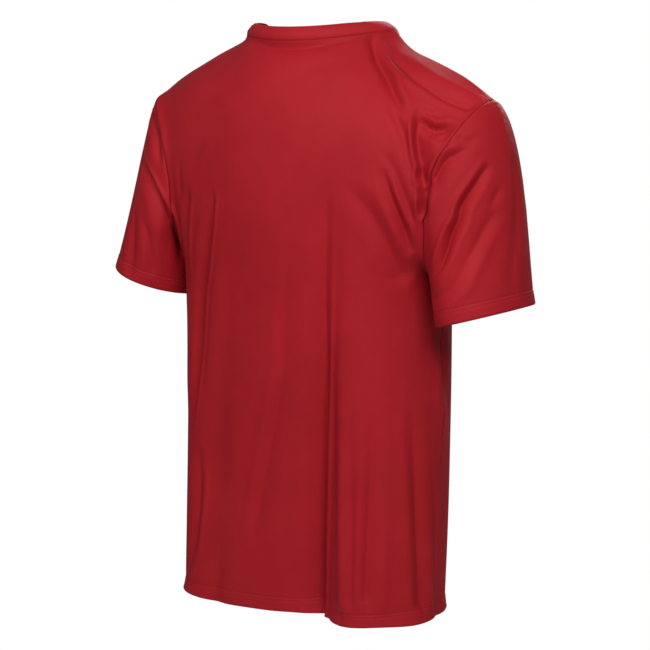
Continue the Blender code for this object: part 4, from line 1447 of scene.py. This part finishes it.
def knit_height(tree, wale, course, slant):
    """The height of knitted loops, from 0 in the grooves to 1, from a piece's cloth map."""
    cloth_map = add_node(tree, "UVMap", uv_map="cloth")
    place = add_node(tree, "SeparateXYZ", {0: cloth_map.outputs[0]})
    across = add_node(tree, "Math", {0: place.outputs[0], 1: 1 / (UV_PER_METRE * wale)}, operation="MULTIPLY")
    leg = add_node(tree, "Math", {0: across.outputs[0], 1: 0.5}, operation="PINGPONG")
    side = add_node(tree, "Math", {0: leg.outputs[0], 1: 2 * math.pi}, operation="MULTIPLY")
    ridge_height = add_node(tree, "Math", {0: side.outputs[0]}, operation="SINE")
    rows = add_node(
        tree, "Math", {0: place.outputs[1], 1: 2 * math.pi / (UV_PER_METRE * course)}, operation="MULTIPLY"
    )
    slanted = add_node(
        tree, "Math", {0: leg.outputs[0], 1: slant, 2: rows.outputs[0]}, operation="MULTIPLY_ADD"
    )
    loops = add_node(tree, "Math", {0: slanted.outputs[0]}, operation="SINE")
    loop_height = add_node(tree, "Math", {0: loops.outputs[0], 1: 0.25, 2: 0.75}, operation="MULTIPLY_ADD")
    return add_node(
        tree, "Math", {0: ridge_height.outputs[0], 1: loop_height.outputs[0]}, operation="MULTIPLY"
    ).outputs[0]


def knitted(name, colour, deep, wale, course, slant, depth):
    """A knitted cloth, from its two shades and the size of its loops."""
    finish, tree, shader = new_finish(name)
    height = knit_height(tree, wale, course, slant)
    place = add_node(tree, "TexCoord").outputs["Object"]
    dye = add_node(
        tree, "TexNoise", {"Vector": place, "Scale": DYE_PATCHES, "Detail": 4.0, "Roughness": 0.6}
    )
    patches = {"Value": dye.outputs["Fac"], "From Min": DYE_FAINT, "From Max": DYE_FULL}
    shade = add_node(tree, "MapRange", patches)
    # painted shade: the colour deepens in the grooves between the loops, where shade falls
    groove_shade = add_node(tree, "MapRange", {"Value": height, "To Min": GROOVE_PAINTED_SHADE, "To Max": 0.0})
    both = {0: shade.outputs[0], 1: groove_shade.outputs[0]}
    dye_and_groove_shade = add_node(tree, "Math", both, operation="ADD", use_clamp=True)
    tones = {0: dye_and_groove_shade.outputs[0], 6: linear(colour), 7: linear(deep)}
    mixed = add_node(tree, "Mix", tones, data_type="RGBA")
    # painted shadow along the seams: each point's number mixes the colour towards a dark red
    seam = add_node(tree, "Attribute", attribute_name="painted_seam_shadow", attribute_type="GEOMETRY")
    shaded = add_node(
        tree, "Mix", {0: seam.outputs["Fac"], 6: mixed.outputs[2], 7: linear(PAINTED_SEAM_SHADOW)}, data_type="RGBA"
    )
    tree.links.new(shaded.outputs[2], shader.inputs["Base Color"])
    rough = add_node(tree, "MapRange", {"Value": dye.outputs["Fac"], "To Min": SMOOTHEST, "To Max": ROUGHEST})
    tree.links.new(rough.outputs[0], shader.inputs["Roughness"])
    crumple = add_node(
        tree, "TexNoise", {"Vector": place, "Scale": CRUMPLES, "Detail": 3.0, "Roughness": 0.55}
    )
    soft = add_node(
        tree, "Bump", {"Height": crumple.outputs["Fac"], "Strength": 0.35, "Distance": CRUMPLE_DEPTH}
    )
    loops = add_node(
        tree, "Bump", {"Height": height, "Strength": 0.5, "Distance": depth, "Normal": soft.outputs[0]}
    )
    tree.links.new(loops.outputs[0], shader.inputs["Normal"])
    shader.inputs["Specular IOR Level"].default_value = 0.12
    shader.inputs["Sheen Weight"].default_value = 0.04
    shader.inputs["Sheen Roughness"].default_value = 0.4
    shader.inputs["Sheen Tint"].default_value = linear("D05058")
    return finish


JERSEY_SLANT, JERSEY_RELIEF = 5.0, 0.00025
jersey = knitted(
    "red_polyester_jersey", JERSEY_COLOUR, JERSEY_DEEP, WALE, COURSE, JERSEY_SLANT, JERSEY_RELIEF
)
for sheet in sheets.values():
    sheet.data.materials.append(jersey)
print(f"{jersey.name}: {len(jersey.node_tree.nodes)} nodes")

# %% [markdown]
# ## The rib of the neckband
#
# The band is a doubled rib knit, so its wales stand up higher and wider than those of the jersey
# and run from the seam to the fold. Two layers let no light through, which makes it look a touch
# brighter and fuller in colour.

# %% Rib knit
RIB, RIB_COURSE = 0.0020, 0.0014
RIB_COLOUR, RIB_DEEP = "B3202B", "A41B25"
RIB_SLANT, RIB_RELIEF = 2.0, 0.00040
band_jersey = knitted("red_polyester_rib", RIB_COLOUR, RIB_DEEP, RIB, RIB_COURSE, RIB_SLANT, RIB_RELIEF)
band.data.materials.append(band_jersey)
print(f"{band_jersey.name}: a rib every {RIB * 1000:.1f} mm")

# %% [markdown]
# ## Thread
#
# Sewing thread is twisted polyester in the cloth's colour. It is smoother than the knit and
# catches a little more light. The real twist is far finer than a pixel, so it is drawn as a
# slanting wave about 1.5 mm long. Blender's slanting bands repeat ten times in 2 pi over the
# sum of the three coordinates, which grows by the root of 3 for each metre straight along them.

# %% Thread
TWIST = 0.001451
thread, tree, shader = new_finish("red_twisted_polyester_thread")
place = add_node(tree, "TexCoord").outputs["Object"]
twist_scale = 2 * math.pi / (10 * math.sqrt(3) * TWIST)
twist = add_node(
    tree, "TexWave", {"Vector": place, "Scale": twist_scale, "Distortion": 1.0}, bands_direction="DIAGONAL"
)
tones = {0: twist.outputs["Fac"], 6: linear("8E1620"), 7: linear("A51E29")}
tone = add_node(tree, "Mix", tones, data_type="RGBA")
tree.links.new(tone.outputs[2], shader.inputs["Base Color"])
shader.inputs["Roughness"].default_value = 0.45
shader.inputs["Specular IOR Level"].default_value = 0.4
for piece in stitches.values():
    piece.data.materials.append(thread)
print(f"{thread.name}: wave scale {twist_scale:.1f}")

# %% [markdown]
# ## What each piece is
#
# Every piece stands for one solid and moves with the garment's one body.

BODY = "root"
for name, sheet in [*sheets.items(), ("neckband", band)]:
    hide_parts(name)
    for piece in (sheet, stitches[name]):
        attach(piece, BODY)
print("declared:", ", ".join([*sheets, "neckband"]))

# %% [markdown]
# ## Floor and surroundings
#
# The shirt hangs free, above a small pale floor that is out of the picture. The surroundings
# are plain white to the camera, and give only a weak even light, so the lamps can shape the folds.

# %% Floor and world
FLOOR_HEIGHT = -1.20
FLOOR_RADIUS = 0.95
AMBIENT = 0.17

mesh = bmesh.new()
bmesh.ops.create_circle(
    mesh, cap_ends=True, segments=96, radius=FLOOR_RADIUS, matrix=Matrix.Translation((0, 0, FLOOR_HEIGHT))
)
floor_data = bpy.data.meshes.new("floor")
mesh.to_mesh(floor_data)
mesh.free()
floor = bpy.data.objects.new("floor", floor_data)
bpy.context.scene.collection.objects.link(floor)
matt_paint, tree, shader = new_finish("pale_matt_floor_paint")
shader.inputs["Base Color"].default_value = linear("E9E9E7")
shader.inputs["Roughness"].default_value = 0.8
floor.data.materials.append(matt_paint)
print(f"floor {FLOOR_HEIGHT} m high, {FLOOR_RADIUS} m to its rim")

world = bpy.data.worlds.new("white studio")
world.use_nodes = True
tree = world.node_tree
seen = add_node(tree, "LightPath").outputs["Is Camera Ray"]
strength = add_node(tree, "MapRange", {"Value": seen, "To Min": AMBIENT, "To Max": 1.0})
background = tree.nodes["Background"]
background.inputs["Color"].default_value = (1, 1, 1, 1)
tree.links.new(strength.outputs[0], background.inputs["Strength"])
bpy.context.scene.world = world
bpy.context.scene.view_settings.view_transform = "Standard"

# %% [markdown]
# ## Lamps
#
# Two large soft lights stand above the camera, the stronger one on its right and the other on its
# left, so that both walls of a fold are shaped. A third one stands on the far side, so that the
# front of the shirt can be looked at too.

# %% Lamps
LAMPS = table(
    "name  right  up  towards  size  power",
    ("main", 0.45, 1.25, 1.95, 0.9, 30),
    ("second", -0.90, 1.55, 1.80, 1.0, 26),
    ("far_side", 0.9, 1.20, -2.2, 1.2, 40),
)
level = Vector((backwards.x, backwards.y, 0)).normalized()
for row in LAMPS:
    lamp_data = bpy.data.lights.new(row["name"], "AREA")
    lamp_data.size = row["size"]
    lamp_data.energy = row["power"]
    lamp = bpy.data.objects.new(row["name"], lamp_data)
    bpy.context.scene.collection.objects.link(lamp)
    offset = camera_right * row["right"] + level * row["towards"] + Vector((0, 0, row["up"]))
    lamp.location = LOOKS_AT + offset
    lamp.rotation_euler = offset.to_track_quat("Z", "Y").to_euler()
print("lamps:", ", ".join(row["name"] for row in LAMPS))
